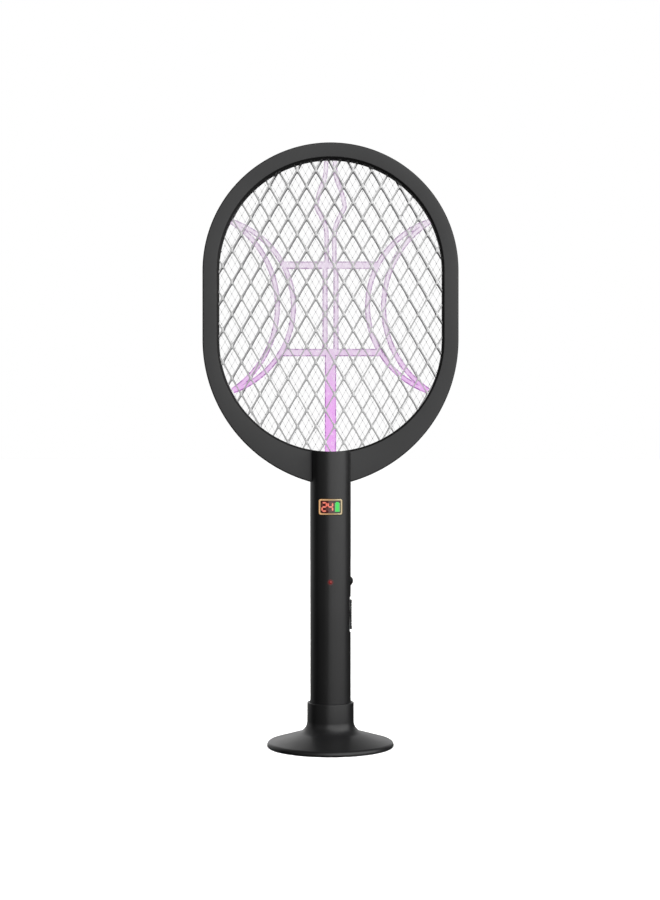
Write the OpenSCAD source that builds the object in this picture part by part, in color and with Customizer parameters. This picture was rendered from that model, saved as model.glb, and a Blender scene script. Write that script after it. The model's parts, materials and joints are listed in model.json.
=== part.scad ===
// Battery-powered fly swatter that stands in a weighted base.
// Origin: centre of the resting face. +Z is up, -Y is the front, +X is the switch side.
// All sizes are in millimetres.

/* [Head] */
// Width of the head frame across its straight sides
head_w = 219.4; // [190:0.1:240]
// Height of the straight stretch of the sides
side_h = 59.2; // [30:0.1:90]
// Height of the centre of the head's upper arc
upper_z = 408.2; // [395:0.1:430]
// Width of the rim's face at the top and sides
rim_w = 13.8; // [12:0.1:18]
// Thickness of the rim from front to back
rim_t = 14; // [13:0.5:18]
// Rounding of the rim's outer edges
rim_round = 1.7; // [0.5:0.1:2.5]
// How much larger the lower arcs' radius is than half the head's width
gothic_step = 16.9; // [10:0.1:24]

/* [Grilles] */
// Width of one diamond of the outer grilles
diamond_w = 16; // [12:0.5:24]
// Height of one diamond of the outer grilles
diamond_h = 27.5; // [20:0.5:36]
// Width of a strand of the outer grilles
strand_w = 1.6; // [1:0.1:2.4]
// Thickness of the outer grilles
grille_t = 0.8; // [0.5:0.1:1.2]

/* [Handle] */
// Outside diameter of the handle
handle_d = 35; // [34:0.5:38]
// Wall of the handle's two shells
handle_wall = 2; // [1.6:0.1:2.4]
// Height of the indicator lamp and of the zap button
button_z = 142; // [138:1:150]
// Height of the middle of the power slider
slider_z = 113.2; // [108:0.1:118]
// Length of the power slider's knob
slider_l = 25.4; // [20:0.1:30]
// Height of the middle of the charge display
display_z = 206; // [203:0.5:208]
// Width of the charge display's bezel
display_w = 20.6; // [18:0.1:22]
// Height of the charge display's bezel
display_h = 14.1; // [12:0.1:15]

/* [Stand] */
// Diameter of the stand's base
base_d = 108.8; // [100:0.1:125]
// Height of the stand's collar
collar_h = 38; // [30:0.5:50]
// Outside diameter of the stand's collar
collar_d = 40.2; // [40:0.1:46]

/* [Hidden] */
$fn = 96;

eps = 0.05;
gap = 0.3;
big = 400;

// head: two half-width arcs above, straight sides, two larger arcs below
outer_r = head_w / 2;
opening_r = outer_r - rim_w;
lower_z = upper_z - side_h;
gothic_r = outer_r + gothic_step;
rim_wall = 1.8;
lip_y = rim_t / 2 - rim_wall;
tray_gap = 0.2;
grille_r = opening_r + 4.3;
spacer_r = opening_r + 4.8;
net_t = 0.2;
net_r = opening_r + 3.3;
neck_w = 22;
neck_z = 200;
neck_top_z = lower_z - opening_r - 4;

// screws
screw_r = 1.2;
screw_hole_r = 1.25;
screw_head_r = 2.3;
screw_head_t = 1.5;
cross_slot = [2.8, 2.2, 0.7];
head_recess_r = 2.6;
frame_recess = 3.4;
frame_boss_r = 3.4;
frame_screw_ring = outer_r - 5.1;
upper_screw_angles = [18, 54, 90, 126, 162];
lower_screw_angles = [198, 236, 304, 342];

// light guide: a stem, two bars, paired uprights, a flame-shaped loop and two crescents
guide_y = -4;
guide_t = 3;
guide_foot_z = lower_z - opening_r - 6.8;
stem_w = 10.4;
rib_w = 4.4;
bar_half = 42;
bar_h = 6.4;
lower_bar_z = lower_z - 11;
upper_bar_z = upper_z + 4.8;
upright_x = 4.7;
crescent_z = (lower_z + upper_z) / 2 - 1;
crescent_end = [opening_r - 10.2, 73.2];
crescent_mid_x = [31.8, 45.6];
flame_w = 3.8;
// centre line of the flame's right side, from the upper bar to the opening's edge
flame_side = [[3.3, 0], [3.4, 25], [4.6, 34], [8.4, 42.5], [11.9, 49.5], [11.2, 56],
    [8.9, 64.5], [5.5, 73], [4, 82], [3.6, 95]];

// ultraviolet lamps under the light guide's foot
uv_led_size = [2.8, 2.8, 1.6];
uv_led_x = [-3.4, 0, 3.4];
uv_board_size = [18, 6, 1.2];
uv_board_z = guide_foot_z - 3.5;

// handle
handle_r = handle_d / 2;
bore_r = handle_r - handle_wall;
handle_foot_z = 9.6;
handle_top_z = lower_z - opening_r + 8;
cap_t = 2;
cap_chamfer = 0.6;
cap_plug_h = 2.5;
boss_r = 3;
boss_z = [94, 157];
neck_boss_z = 215;
screw_head_y = 9;
screw_tip_y = -11;

// zap button
button_r = 4.2;
button_proud = 2;
button_foot_x = 11.3;
button_stem_r = 1.5;
button_flange_r = 5.2;
button_flange_x = 12.4;
button_flange_t = 1.8;
button_neck_x = 13;
dome_rise = button_proud + 0.4;
dome_r = (button_r * button_r + dome_rise * dome_rise) / (2 * dome_rise);

// power slider
slider_w = 10;
slider_proud = 1.1;
slider_travel = 2;
recess_x = handle_r - 0.8;
stem_y = 1.4;
stem_z = 3;
stem_foot_x = 12.4;
slider_flange_x = [12.8, 14.3];
slider_flange = [8, 16];
lever_w = 2;
lever_h = 2.5;
lever_x = 6.6;
lever_end_x = 13.6;
rib_pitch = 2.3;
rib_count = 10;
rib_h = 1.3;
end_rib_h = 0.8;

// board and what it carries
board_y = 4.4;
board_t = 1.6;
board_w = 22;
board_z = [98.5, 199];
part_front_y = -3;
led_r = 1.5;
led_flange_r = 1.9;
led_leg = 0.5;
led_leg_x = 1.27;
transformer_w = 18;
transformer_y = -8;
transformer_z = 175;
transformer_h = 18;
winding_depth = 2;
winding_h = 12;
capacitor_w = 16;
capacitor_y = -4;
capacitor_z = 149.5;
capacitor_h = 6;
tact_x = 6.3;
tact_w = 4.6;
tact_h = 6.4;
tact_stem_x = [8, 10.2];
tact_stem_r = 1.7;
switch_x = 5.85;
switch_w = 4.7;
switch_l = 18;
switch_slot_x = 6;
switch_slot_y = 1.4;
switch_slot_l = 8;
port_w = 8.6;
port_h = 3;
port_z = 113.2;
port_wall = 0.3;
port_end_y = handle_r - 1.2;
port_depth = 7;
tongue_w = 6.6;
tongue_h = 0.7;

// battery
cell_r = 9.2;
cell_z = 22;
cell_l = 65;
cell_nub_r = 4.5;
cradle_wall = 1.5;
cradle_z = 15.2;
cradle_h = 75;
cradle_floor = 1.2;
cradle_roof = 1.4;
contact_t = 0.6;
contact_r = 7;
contact_flat_y = -5;
spring_turns = 4;
spring_steps = 12;
spring_foot_z = 17.1;
spring_r = [6.5, 3.5];
spring_wire_r = 0.4;
lead_r = 0.7;
hv_lead_r = 0.6;

// display
bezel_line = 1.7;
bezel_round = 2;
face_r = handle_r - 0.2;
bezel_proud = 0.3;
segment_t = 0.5;
display_foot_r = 14.2;
cut_depth = 8;
digit_w = 5;
digit_h = 8.3;
stroke = 1.25;
digit_x = [-5.3, -0.1];
segment_gap = 0.4;
gauge_x = 5.8;
gauge_w = 4.2;
gauge_cap_w = 2.52;
gauge_cap_h = 0.8;
// segments in the order top, top right, bottom right, bottom, bottom left, top left, middle
two = [1, 1, 0, 1, 1, 0, 1];
four = [0, 1, 1, 0, 0, 1, 1];

// stand
base_r = base_d / 2;
collar_r = collar_d / 2;
collar_round = 0.8;
socket_r = handle_r + 0.35;
socket_floor_z = 9.5;
flare_z = 21.9;
flare_r = 10.8;
rim_slope = 16.4;
rim_edge_r = 3;
rim_foot_z = 0.3;
rim_foot_round = 0.5;
plate_r = 44;
plate_z = 1;
plate_t = 1.8;
pad_r = plate_r + 6;
weight_r = [38, 30];
weight_z = [2.85, 4.9, 7.3];
weight_hole_r = 3.2;
stand_screw_ring = 34;
stand_screw_angles = [90, 210, 330];
stand_boss_r = 2.9;
stand_head_t = 1;
stand_screw_top_z = 6.5;

black = [0.09, 0.09, 0.095];
steel = [0.72, 0.72, 0.74];

// ---------- helpers ----------

// Children drawn in X and Z become a plate that starts at y and is t thick
module plate(y, t) {
    translate([0, y + t, 0]) rotate([90, 0, 0]) linear_extrude(t) children();
}

// A cylinder along Y from y to y + l
module peg(x, y, z, r, l) {
    translate([x, y + l, z]) rotate([90, 0, 0]) cylinder(h = l, r = r);
}

module block(x0, x1, y0, y1, z0, z1) {
    translate([x0, y0, z0]) cube([x1 - x0, y1 - y0, z1 - z0]);
}

// A block w wide and h high, centred on x = 0 and height z
module bar(w, y0, y1, z, h) {
    block(-w / 2, w / 2, y0, y1, z - h / 2, z + h / 2);
}

// Points along an arc in steps
function arc(c, r, a0, a1, steps) =
    [for (i = [0:steps]) let (a = a0 + (a1 - a0) * i / steps) c + r * [cos(a), sin(a)]];

function unit(v) = v / norm(v);
function heading(p, i) = unit(p[min(i + 1, len(p) - 1)] - p[max(i - 1, 0)]);
function ring(c, t, ref, r, sides) =
    let (u = unit(cross(t, ref)), v = cross(t, u))
    [for (k = [0:sides - 1]) c + r * (cos(360 * k / sides) * u + sin(360 * k / sides) * v)];

// A round wire along a path; ref is a direction the path never runs along
module wire(path, r, ref, sides = 8) {
    n = len(path);
    points = [for (i = [0:n - 1]) each ring(path[i], heading(path, i), ref, r, sides)];
    walls = [for (i = [0:n - 2]) for (k = [0:sides - 1])
        let (a = i * sides + k, b = i * sides + (k + 1) % sides)
        each [[a, a + sides, b], [b, a + sides, b + sides]]];
    foot = [for (k = [0:sides - 1]) k];
    top = [for (k = [0:sides - 1]) n * sides - 1 - k];
    polyhedron(points, concat(walls, [foot], [top]));
}

// ---------- head outline ----------

// Upper or lower half of a round disc in X and Z
module half_disc_2d(r, z, up) {
    translate([0, z]) intersection() {
        circle(r);
        translate([-big / 2, up ? 0 : -big / 2]) square([big, big / 2]);
    }
}

module stadium_2d(r) {
    half_disc_2d(r, upper_z, true);
    translate([-r, lower_z]) square([2 * r, side_h]);
    half_disc_2d(r, lower_z, false);
}

// The head's outline, drawn in by a margin
module head_2d(margin) {
    r = outer_r - margin;
    half_disc_2d(r, upper_z, true);
    translate([-r, lower_z]) square([2 * r, side_h]);
    intersection() {
        translate([-gothic_step, lower_z]) circle(gothic_r - margin);
        translate([gothic_step, lower_z]) circle(gothic_r - margin);
        translate([-big / 2, lower_z - big / 2]) square([big, big / 2]);
    }
}

// Half section of a slab with rounded edges
module edge_section(r) {
    translate([0, -rim_t / 2]) square([r - rim_round, rim_t]);
    translate([0, -rim_t / 2 + rim_round]) square([r, rim_t - 2 * rim_round]);
    for (s = [-1, 1]) translate([r - rim_round, s * (rim_t / 2 - rim_round)]) circle(rim_round);
}

module rounded_disc(x, z, r) {
    translate([x, 0, z]) rotate([90, 0, 0]) rotate_extrude() intersection() {
        edge_section(r);
        translate([0, -rim_t]) square([2 * r, 2 * rim_t]);
    }
}

// The head as a solid slab with rounded outer edges
module head_slab() {
    intersection() {
        rounded_disc(0, upper_z, outer_r);
        block(-big, big, -big, big, upper_z, upper_z + big);
    }
    translate([0, 0, lower_z]) linear_extrude(side_h)
        for (m = [0, 1]) mirror([m, 0]) intersection() {
            edge_section(outer_r);
            translate([0, -rim_t]) square([2 * outer_r, 2 * rim_t]);
        }
    intersection() {
        rounded_disc(-gothic_step, lower_z, gothic_r);
        rounded_disc(gothic_step, lower_z, gothic_r);
        block(-big, big, -big, big, lower_z - big, lower_z);
    }
}

// Screw places round the rim, as [x, z]
frame_screw_places = concat(
    [for (a = upper_screw_angles) [0, upper_z] + frame_screw_ring * [cos(a), sin(a)]],
    [for (a = lower_screw_angles) [0, lower_z] + frame_screw_ring * [cos(a), sin(a)]]);

// One half of the rim, as a tray whose face is towards side s (-1 front, 1 rear)
module frame_half(s) {
    boss_l = lip_y + rim_wall / 2;
    difference() {
        union() {
            difference() {
                union() {
                    head_slab();
                    block(-neck_w / 2, neck_w / 2, -rim_t / 2, rim_t / 2, neck_z, neck_top_z);
                }
                plate(-big / 2, big) stadium_2d(opening_r);
                plate(-lip_y, 2 * lip_y) head_2d(rim_wall + tray_gap);
                block(rim_wall - neck_w / 2, neck_w / 2 - rim_wall, -lip_y, lip_y, neck_z - 1, neck_top_z);
            }
            for (p = frame_screw_places) peg(p[0], min(0, s * boss_l), p[1], frame_boss_r, boss_l);
            peg(0, min(0, s * boss_l), neck_boss_z, boss_r, boss_l);
        }
        block(-big, big, s > 0 ? -big : 0, s > 0 ? 0 : big, -big, 2 * big);
        for (p = frame_screw_places) {
            peg(p[0], -lip_y, p[1], screw_hole_r, big);
            peg(p[0], rim_t / 2 - frame_recess, p[1], head_recess_r, big);
        }
        peg(0, -big / 2, neck_boss_z, screw_hole_r, big);
    }
}

module front_frame() {
    color(black) frame_half(-1);
}

module rear_frame() {
    color(black) frame_half(1);
}

// A screw that enters from the rear: head at y, tip at tip_y
module rear_screw(x, z, y, tip_y) {
    difference() {
        union() {
            peg(x, y, z, screw_head_r, screw_head_t);
            peg(x, tip_y, z, screw_r, y - tip_y + eps);
        }
        for (a = [0, 90]) translate([x, y + screw_head_t + 0.5, z]) rotate([0, a, 0])
            cube(cross_slot, center = true);
    }
}

module frame_screws() {
    color(steel) for (p = frame_screw_places)
        rear_screw(p[0], p[1], rim_t / 2 - frame_recess, 0.4 - lip_y);
}

// ---------- grilles, net and light guide ----------

function in_opening(x, z, r) =
    norm([x, z - min(max(z, lower_z), upper_z)]) < r;

// Every diamond whose middle lies near the opening
diamond_start = [11.4, upper_z + 4.1];
diamond_columns = ceil(opening_r / diamond_w) + 1;
diamond_rows = ceil((opening_r + side_h) / diamond_h) + 1;
diamond_middles = [for (i = [-diamond_columns:diamond_columns])
    for (j = [-diamond_rows:diamond_rows]) for (k = [0, 1])
    let (x = diamond_start[0] + diamond_w * (i + k / 2), z = diamond_start[1] + diamond_h * (j + k / 2))
    if (in_opening(x, z, opening_r + diamond_w / 4)) [x, z]];

diamond_angle = atan(diamond_h / diamond_w);
diamond_shrink = 1 - strand_w / (diamond_w * sin(diamond_angle));

function diamond_inside(c) =
    in_opening(c[0] - diamond_w / 2, c[1], opening_r) && in_opening(c[0] + diamond_w / 2, c[1], opening_r)
    && in_opening(c[0], c[1] - diamond_h / 2, opening_r) && in_opening(c[0], c[1] + diamond_h / 2, opening_r);

module diamond(c) {
    w = diamond_w * diamond_shrink / 2;
    h = diamond_h * diamond_shrink / 2;
    translate(c) polygon([[w, 0], [0, h], [-w, 0], [0, -h]]);
}

module grille_2d() {
    difference() {
        stadium_2d(grille_r);
        for (c = diamond_middles) if (diamond_inside(c)) diamond(c);
        intersection() {
            stadium_2d(opening_r + 1);
            union() for (c = diamond_middles) if (!diamond_inside(c)) diamond(c);
        }
    }
}

module front_grille() {
    color(steel) plate(-lip_y, grille_t) grille_2d();
}

module rear_grille() {
    color(steel) plate(lip_y - grille_t, grille_t) grille_2d();
}

module front_spacer() {
    color([0.2, 0.2, 0.21]) difference() {
        plate(grille_t - lip_y, lip_y - grille_t - net_t / 2) difference() {
            stadium_2d(spacer_r);
            stadium_2d(opening_r);
        }
        block(-stem_w / 2 - gap, stem_w / 2 + gap, -big, big, 0, lower_z - opening_r + 2);
    }
}

module rear_spacer() {
    color([0.2, 0.2, 0.21]) plate(net_t / 2, lip_y - grille_t - net_t / 2) difference() {
        stadium_2d(spacer_r);
        stadium_2d(opening_r);
    }
}

module hv_net() {
    color(steel) plate(-net_t / 2, net_t) stadium_2d(net_r);
}

// A rib that bulges inwards from the opening's edge, on side s
module crescent_rib(mid_x, s) {
    rise = crescent_end[0] - mid_x;
    r = (rise * rise + crescent_end[1] * crescent_end[1]) / (2 * rise);
    translate([s * (mid_x + r), crescent_z]) difference() {
        circle(r + rib_w / 2);
        circle(r - rib_w / 2);
    }
}

module flame_half() {
    n = len(flame_side);
    translate([0, upper_bar_z]) polygon(concat([for (p = flame_side) p + [flame_w / 2, 0]],
        [for (i = [1:n]) flame_side[n - i] - [flame_w / 2, 0]]));
}

module light_guide() {
    color([0.85, 0.7, 0.95]) plate(guide_y, guide_t) {
        translate([-stem_w / 2, guide_foot_z]) square([stem_w, lower_bar_z - guide_foot_z]);
        for (z = [lower_bar_z, upper_bar_z])
            translate([-bar_half, z - bar_h / 2]) square([2 * bar_half, bar_h]);
        for (s = [-1, 1]) translate([s * upright_x - rib_w / 2, lower_bar_z])
            square([rib_w, upper_bar_z - lower_bar_z]);
        intersection() {
            stadium_2d(opening_r - eps);
            union() {
                for (m = [0, 1]) mirror([m, 0]) flame_half();
                for (s = [-1, 1]) for (x = crescent_mid_x) crescent_rib(x, s);
            }
        }
    }
}

module uv_board() {
    color([0.1, 0.35, 0.2]) translate([-uv_board_size[0] / 2, guide_y - 1, uv_board_z]) cube(uv_board_size);
}

module uv_leds() {
    color([0.95, 0.9, 0.7]) for (x = uv_led_x)
        translate([x - uv_led_size[0] / 2, guide_y + (guide_t - uv_led_size[1]) / 2,
            uv_board_z + uv_board_size[2]]) cube(uv_led_size);
}

// ---------- handle ----------

// A slot for the power slider, from x outwards, with clearance all round
module slot(x, w, l) {
    block(x, big, -w / 2 - gap, w / 2 + gap, slider_z - l / 2 - gap, slider_z + l / 2 + gap);
}

// The tube that both shells are cut from, with every opening in it
module handle_body() {
    difference() {
        translate([0, 0, handle_foot_z + cap_t])
            cylinder(h = handle_top_z - handle_foot_z - cap_t, r = handle_r);
        peg(0, -big / 2, lower_z, opening_r, big);
        difference() {
            cylinder(h = handle_top_z + 1, r = bore_r);
            peg(0, -big / 2, lower_z, opening_r + handle_wall, big);
            for (z = boss_z) peg(0, -handle_r, z, boss_r, handle_d);
            peg(0, -handle_r, neck_boss_z, boss_r, handle_r - rim_t / 2 - eps);
            peg(0, rim_t / 2 + eps, neck_boss_z, boss_r, handle_r - rim_t / 2);
        }
        plate(-rim_t / 2, rim_t) head_2d(0);
        for (z = concat(boss_z, [neck_boss_z])) {
            peg(0, screw_tip_y - 1, z, screw_hole_r, big);
            peg(0, screw_head_y, z, head_recess_r, big);
        }
        plate(-handle_r - 1, cut_depth) bezel_2d(eps);
        peg(0, -handle_r - 1, button_z, led_r + 0.1, cut_depth);
        translate([0, 0, button_z]) rotate([0, 90, 0]) cylinder(h = big, r = button_r + gap);
        slot(recess_x, slider_w, slider_l + 2 * slider_travel + 0.4);
        slot(0, 2 * stem_y, 2 * stem_z + 2 * slider_travel);
        bar(port_w + 2 * gap, 0, big, port_z, port_h + 2 * gap);
    }
}

module handle_front() {
    color(black) difference() {
        handle_body();
        block(-big, big, 0, big, -big, big);
    }
}

module handle_rear() {
    color(black) difference() {
        handle_body();
        block(-big, big, -big, 0, -big, big);
    }
}

module handle_cap() {
    color(black) {
        translate([0, 0, handle_foot_z]) cylinder(h = cap_t, r1 = handle_r - cap_chamfer, r2 = handle_r);
        translate([0, 0, handle_foot_z + cap_t / 2]) cylinder(h = cap_t + cap_plug_h, r = bore_r - eps);
    }
}

module handle_screws() {
    color(steel) for (z = concat(boss_z, [neck_boss_z])) rear_screw(0, z, screw_head_y, screw_tip_y);
}

// ---------- display ----------

module round_rect_2d(w, h, r) {
    square([w - 2 * r, h], center = true);
    square([w, h - 2 * r], center = true);
    for (x = [-1, 1]) for (z = [-1, 1]) translate([x * (w / 2 - r), z * (h / 2 - r)]) circle(r);
}

module bezel_2d(gap) {
    translate([0, display_z]) round_rect_2d(display_w + 2 * gap, display_h + 2 * gap, bezel_round);
}

module window_2d() {
    translate([0, display_z])
        round_rect_2d(display_w - 2 * bezel_line, display_h - 2 * bezel_line, bezel_round / 2);
}

// Children drawn in X and Z, wrapped on the handle's front between two radii
module wrapped(r_in, r_out) {
    intersection() {
        plate(-handle_r - 1, cut_depth) children();
        translate([0, 0, display_z - display_h]) difference() {
            cylinder(h = 2 * display_h, r = r_out);
            translate([0, 0, -1]) cylinder(h = 2 * display_h + 2, r = r_in);
        }
    }
}

module display_bezel() {
    color([0.8, 0.68, 0.42]) wrapped(bore_r, handle_r + bezel_proud) difference() {
        bezel_2d(0);
        window_2d();
    }
}

// A level bar with pointed ends, of a seven-part digit
module level_bar() {
    l = digit_w - stroke - segment_gap;
    s = stroke / 2;
    polygon([[-l / 2, 0], [s - l / 2, s], [l / 2 - s, s], [l / 2, 0], [l / 2 - s, -s], [s - l / 2, -s]]);
}

module upright_bar() {
    l = (digit_h - stroke) / 2 - 0.75 * segment_gap;
    s = stroke / 2;
    polygon([[0, -l / 2], [s, s - l / 2], [s, l / 2 - s], [0, l / 2], [-s, l / 2 - s], [-s, s - l / 2]]);
}

// Those bars of one digit whose entry in bars equals want
module digit_2d(bars, want) {
    side = (digit_w - stroke) / 2;
    rise = (digit_h - stroke) / 2;
    for (i = [0:2]) if (bars[[0, 6, 3][i]] == want) translate([0, rise * (1 - i)]) level_bar();
    if (bars[1] == want) translate([side, rise / 2]) upright_bar();
    if (bars[2] == want) translate([side, -rise / 2]) upright_bar();
    if (bars[4] == want) translate([-side, -rise / 2]) upright_bar();
    if (bars[5] == want) translate([-side, rise / 2]) upright_bar();
}

module digits_2d(want) {
    translate([digit_x[0], display_z]) digit_2d(two, want);
    translate([digit_x[1], display_z]) digit_2d(four, want);
}

module gauge_2d() {
    translate([gauge_x, display_z - gauge_cap_h / 2]) {
        square([gauge_w, digit_h - gauge_cap_h], center = true);
        translate([0, digit_h / 2]) square([gauge_cap_w, gauge_cap_h + eps], center = true);
    }
}

module display_module() {
    color([0.05, 0.045, 0.05]) difference() {
        wrapped(display_foot_r, face_r) window_2d();
        wrapped(face_r - segment_t, face_r + 1) {
            digits_2d(0);
            digits_2d(1);
            gauge_2d();
        }
    }
}

module lit_segments() {
    color([0.95, 0.25, 0.2]) wrapped(face_r - segment_t, face_r + 0.1) digits_2d(1);
}

module unlit_segments() {
    color([0.2, 0.16, 0.16]) wrapped(face_r - segment_t, face_r + eps) digits_2d(0);
}

module battery_gauge() {
    color([0.2, 0.85, 0.35]) wrapped(face_r - segment_t, face_r + 0.1) gauge_2d();
}

module indicator_led() {
    color([0.8, 0.1, 0.1]) {
        peg(0, -handle_r + 1, button_z, led_r, 4.6);
        peg(0, -bore_r + 1.2, button_z, led_flange_r, 1);
        for (x = [-led_leg_x, led_leg_x]) block(x - led_leg / 2, x + led_leg / 2, -bore_r + 2, board_y,
            button_z - led_leg / 2, button_z + led_leg / 2);
        translate([0, -handle_r + 1, button_z]) intersection() {
            sphere(led_r);
            block(-led_r, led_r, -led_r, 0, -led_r, led_r);
        }
    }
}

// ---------- inside the handle ----------

module main_board() {
    color([0.1, 0.35, 0.2]) difference() {
        block(-board_w / 2, board_w / 2, board_y, board_y + board_t, board_z[0], board_z[1]);
        peg(0, 0, boss_z[1], boss_r + gap, handle_r);
    }
}

module hv_transformer() {
    color([0.85, 0.7, 0.2]) difference() {
        bar(transformer_w, transformer_y, board_y, transformer_z, transformer_h);
        for (s = [-1, 1]) translate([s * transformer_w / 2, 0, 0])
            bar(2 * winding_depth, transformer_y - 1, board_y - winding_depth, transformer_z, winding_h);
    }
}

module hv_capacitor() {
    color([0.6, 0.15, 0.1]) bar(capacitor_w, capacitor_y, board_y, capacitor_z, capacitor_h);
}

module tact_switch() {
    color([0.12, 0.12, 0.12]) {
        translate([tact_x, 0, 0]) bar(tact_w, part_front_y, board_y, button_z, tact_h);
        translate([tact_stem_x[0], 0, button_z]) rotate([0, 90, 0])
            cylinder(h = tact_stem_x[1] - tact_stem_x[0], r = tact_stem_r);
    }
}

module slide_switch() {
    color(steel) difference() {
        translate([switch_x, 0, 0]) bar(switch_w, part_front_y, board_y, slider_z, switch_l);
        translate([switch_slot_x + switch_w / 2, 0, 0])
            bar(switch_w, -switch_slot_y, switch_slot_y, slider_z, switch_slot_l);
    }
}

module charge_port() {
    color(steel) difference() {
        bar(port_w, board_y + board_t, port_end_y, port_z, port_h);
        bar(port_w - 2 * port_wall, handle_r - port_depth, handle_r, port_z, port_h - 2 * port_wall);
    }
    color(black) bar(tongue_w, handle_r - port_depth - eps, port_end_y - 0.8, port_z, tongue_h);
}

// ---------- battery ----------

module battery_cradle() {
    color([0.15, 0.15, 0.16]) difference() {
        translate([0, 0, cradle_z]) cylinder(h = cradle_h, r = cell_r + gap + cradle_wall);
        translate([0, 0, cradle_z + cradle_floor])
            cylinder(h = cradle_h - cradle_floor - cradle_roof, r = cell_r + gap);
        block(-handle_r, handle_r, -handle_r, 0, 0, 2 * cradle_h);
    }
}

module battery_cell() {
    color([0.2, 0.45, 0.7]) difference() {
        translate([0, 0, cell_z]) cylinder(h = cell_l, r = cell_r);
        translate([0, 0, cell_z + cell_l - 1]) difference() {
            cylinder(h = 2, r = cell_r + 1);
            translate([0, 0, -1]) cylinder(h = 4, r = cell_nub_r);
        }
    }
}

// A conical coil from the cradle's floor up to the cell
spring_path = [for (i = [0:spring_turns * spring_steps])
    let (t = i / (spring_turns * spring_steps), a = i * 360 / spring_steps,
        r = spring_r[0] + (spring_r[1] - spring_r[0]) * t)
    [r * cos(a), r * sin(a), spring_foot_z + t * (cell_z - spring_foot_z - 0.5)]];

module battery_spring() {
    color(steel) wire(spring_path, spring_wire_r, [0, 0, 1]);
}

module battery_contact() {
    color(steel) difference() {
        translate([0, 0, cell_z + cell_l + eps]) cylinder(h = contact_t, r = contact_r);
        block(-handle_r, handle_r, -handle_r, contact_flat_y, 0, 2 * cradle_h);
    }
}

// One lead from the spring and one from the upper contact, both to the board
lead_up = [[-7.6, -2.5, 17.3], [-9.4, -5.4, 19], [-11.2, -6.8, 25], [-11.4, -6.6, 50], [-11.4, -6.6, 86],
    [-10, -5, 97], [-9.6, -2, 104], [-9.6, 1, 107], [-9.6, 4.3, 107]];
lead_short = [[5, -3.5, 87.8], [5, -3.5, 89.5], [7.4, -4.6, 92], [9.8, -4, 98], [9.6, -1, 105],
    [9.6, 1, 107], [9.6, 4.3, 107]];

module battery_leads() {
    color([0.7, 0.1, 0.1]) wire(lead_up, lead_r, [1, 0, 0]);
    color([0.1, 0.1, 0.1]) wire(lead_short, lead_r, [1, 0, 0.3]);
}

// One lead to each grille and one to the net between them, as [x, y] in the neck
hv_lead_side = [[-6.4, 0], [4.8, -2.5], [7.4, 2.5]];
function hv_lead(x, y) = [[x, -2, 184.5], [x, -1, 192], [x, y / 2, 200], [x, y, 208], [x, y, 225],
    [1.7 * x, y, 236], [2 * x, y, 241], [2.2 * x, y, 245]];

module hv_leads() {
    color([0.75, 0.1, 0.1]) for (p = hv_lead_side) wire(hv_lead(p[0], p[1]), hv_lead_r, [0, 1, 0.2]);
}

// ---------- moving controls ----------

module zap_button() {
    color([0.12, 0.12, 0.125]) translate([0, 0, button_z]) rotate([0, 90, 0]) {
        intersection() {
            translate([0, 0, button_neck_x]) cylinder(h = handle_r, r = button_r);
            translate([0, 0, handle_r + button_proud - dome_r]) sphere(dome_r);
        }
        translate([0, 0, button_flange_x]) cylinder(h = button_flange_t, r = button_flange_r);
        translate([0, 0, button_foot_x]) cylinder(h = 2, r = button_stem_r);
    }
}

// A block on the power slider, w wide and l long, from x0 to x1
module slider_block(x0, x1, w, l) {
    block(x0, x1, -w / 2, w / 2, -l / 2, l / 2);
}

module slider_knob() {
    color([0.12, 0.12, 0.125]) translate([0, 0, slider_z]) {
        difference() {
            union() {
                slider_block(recess_x + 0.15, handle_r + 0.5, slider_w, slider_l);
                slider_block(stem_foot_x, recess_x + 1, 2 * stem_y, 2 * stem_z);
                slider_block(slider_flange_x[0], slider_flange_x[1], slider_flange[0], slider_flange[1]);
            }
            slider_block(0, lever_end_x + 0.1, lever_w + 0.1, lever_h + 0.1);
        }
        for (i = [0:rib_count - 1]) translate([0, 0, (i - (rib_count - 1) / 2) * rib_pitch])
            slider_block(handle_r, handle_r + slider_proud, slider_w, rib_h);
        for (s = [-1, 1]) translate([0, 0, s * (slider_l - end_rib_h) / 2])
            slider_block(handle_r, handle_r + slider_proud, slider_w, end_rib_h);
    }
}

module switch_lever() {
    color([0.9, 0.9, 0.88]) translate([0, 0, slider_z]) slider_block(lever_x, lever_end_x, lever_w, lever_h);
}

// ---------- stand ----------

flare_end = [collar_r + flare_r, flare_z] - flare_r * [sin(rim_slope), cos(rim_slope)];
edge_x = base_r - rim_edge_r * (1 - sin(rim_slope));
edge_c = [base_r - rim_edge_r,
    flare_end[1] - (edge_x - flare_end[0]) * tan(rim_slope) - rim_edge_r * cos(rim_slope)];

// Half section of the stand's outside, from the collar's top round to the foot
stand_outline = concat([[0, rim_foot_z], [0, collar_h]],
    arc([collar_r - collar_round, collar_h - collar_round], collar_round, 90, 0, 6),
    arc([collar_r + flare_r, flare_z], flare_r, 180, 270 - rim_slope, 16),
    arc(edge_c, rim_edge_r, 90 - rim_slope, 0, 10),
    arc([base_r - rim_foot_round, rim_foot_z + rim_foot_round], rim_foot_round, 0, -90, 4));

// Half section of the hollow that holds the pad, the plate and the weight
stand_hollow = [[0, -1], [pad_r + 0.2, -1], [pad_r + 0.2, plate_z], [plate_r + 0.2, plate_z],
    [plate_r + 0.2, plate_z + plate_t + 0.1], [weight_r[0] + gap, weight_z[1] + 0.1],
    [weight_r[1] + 0.5, weight_z[2] + 0.1], [0, weight_z[2] + 0.1]];

// Children at each of the stand's three screws
module at_stand_screws() {
    for (a = stand_screw_angles) rotate([0, 0, a]) translate([stand_screw_ring, 0, 0]) children();
}

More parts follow.
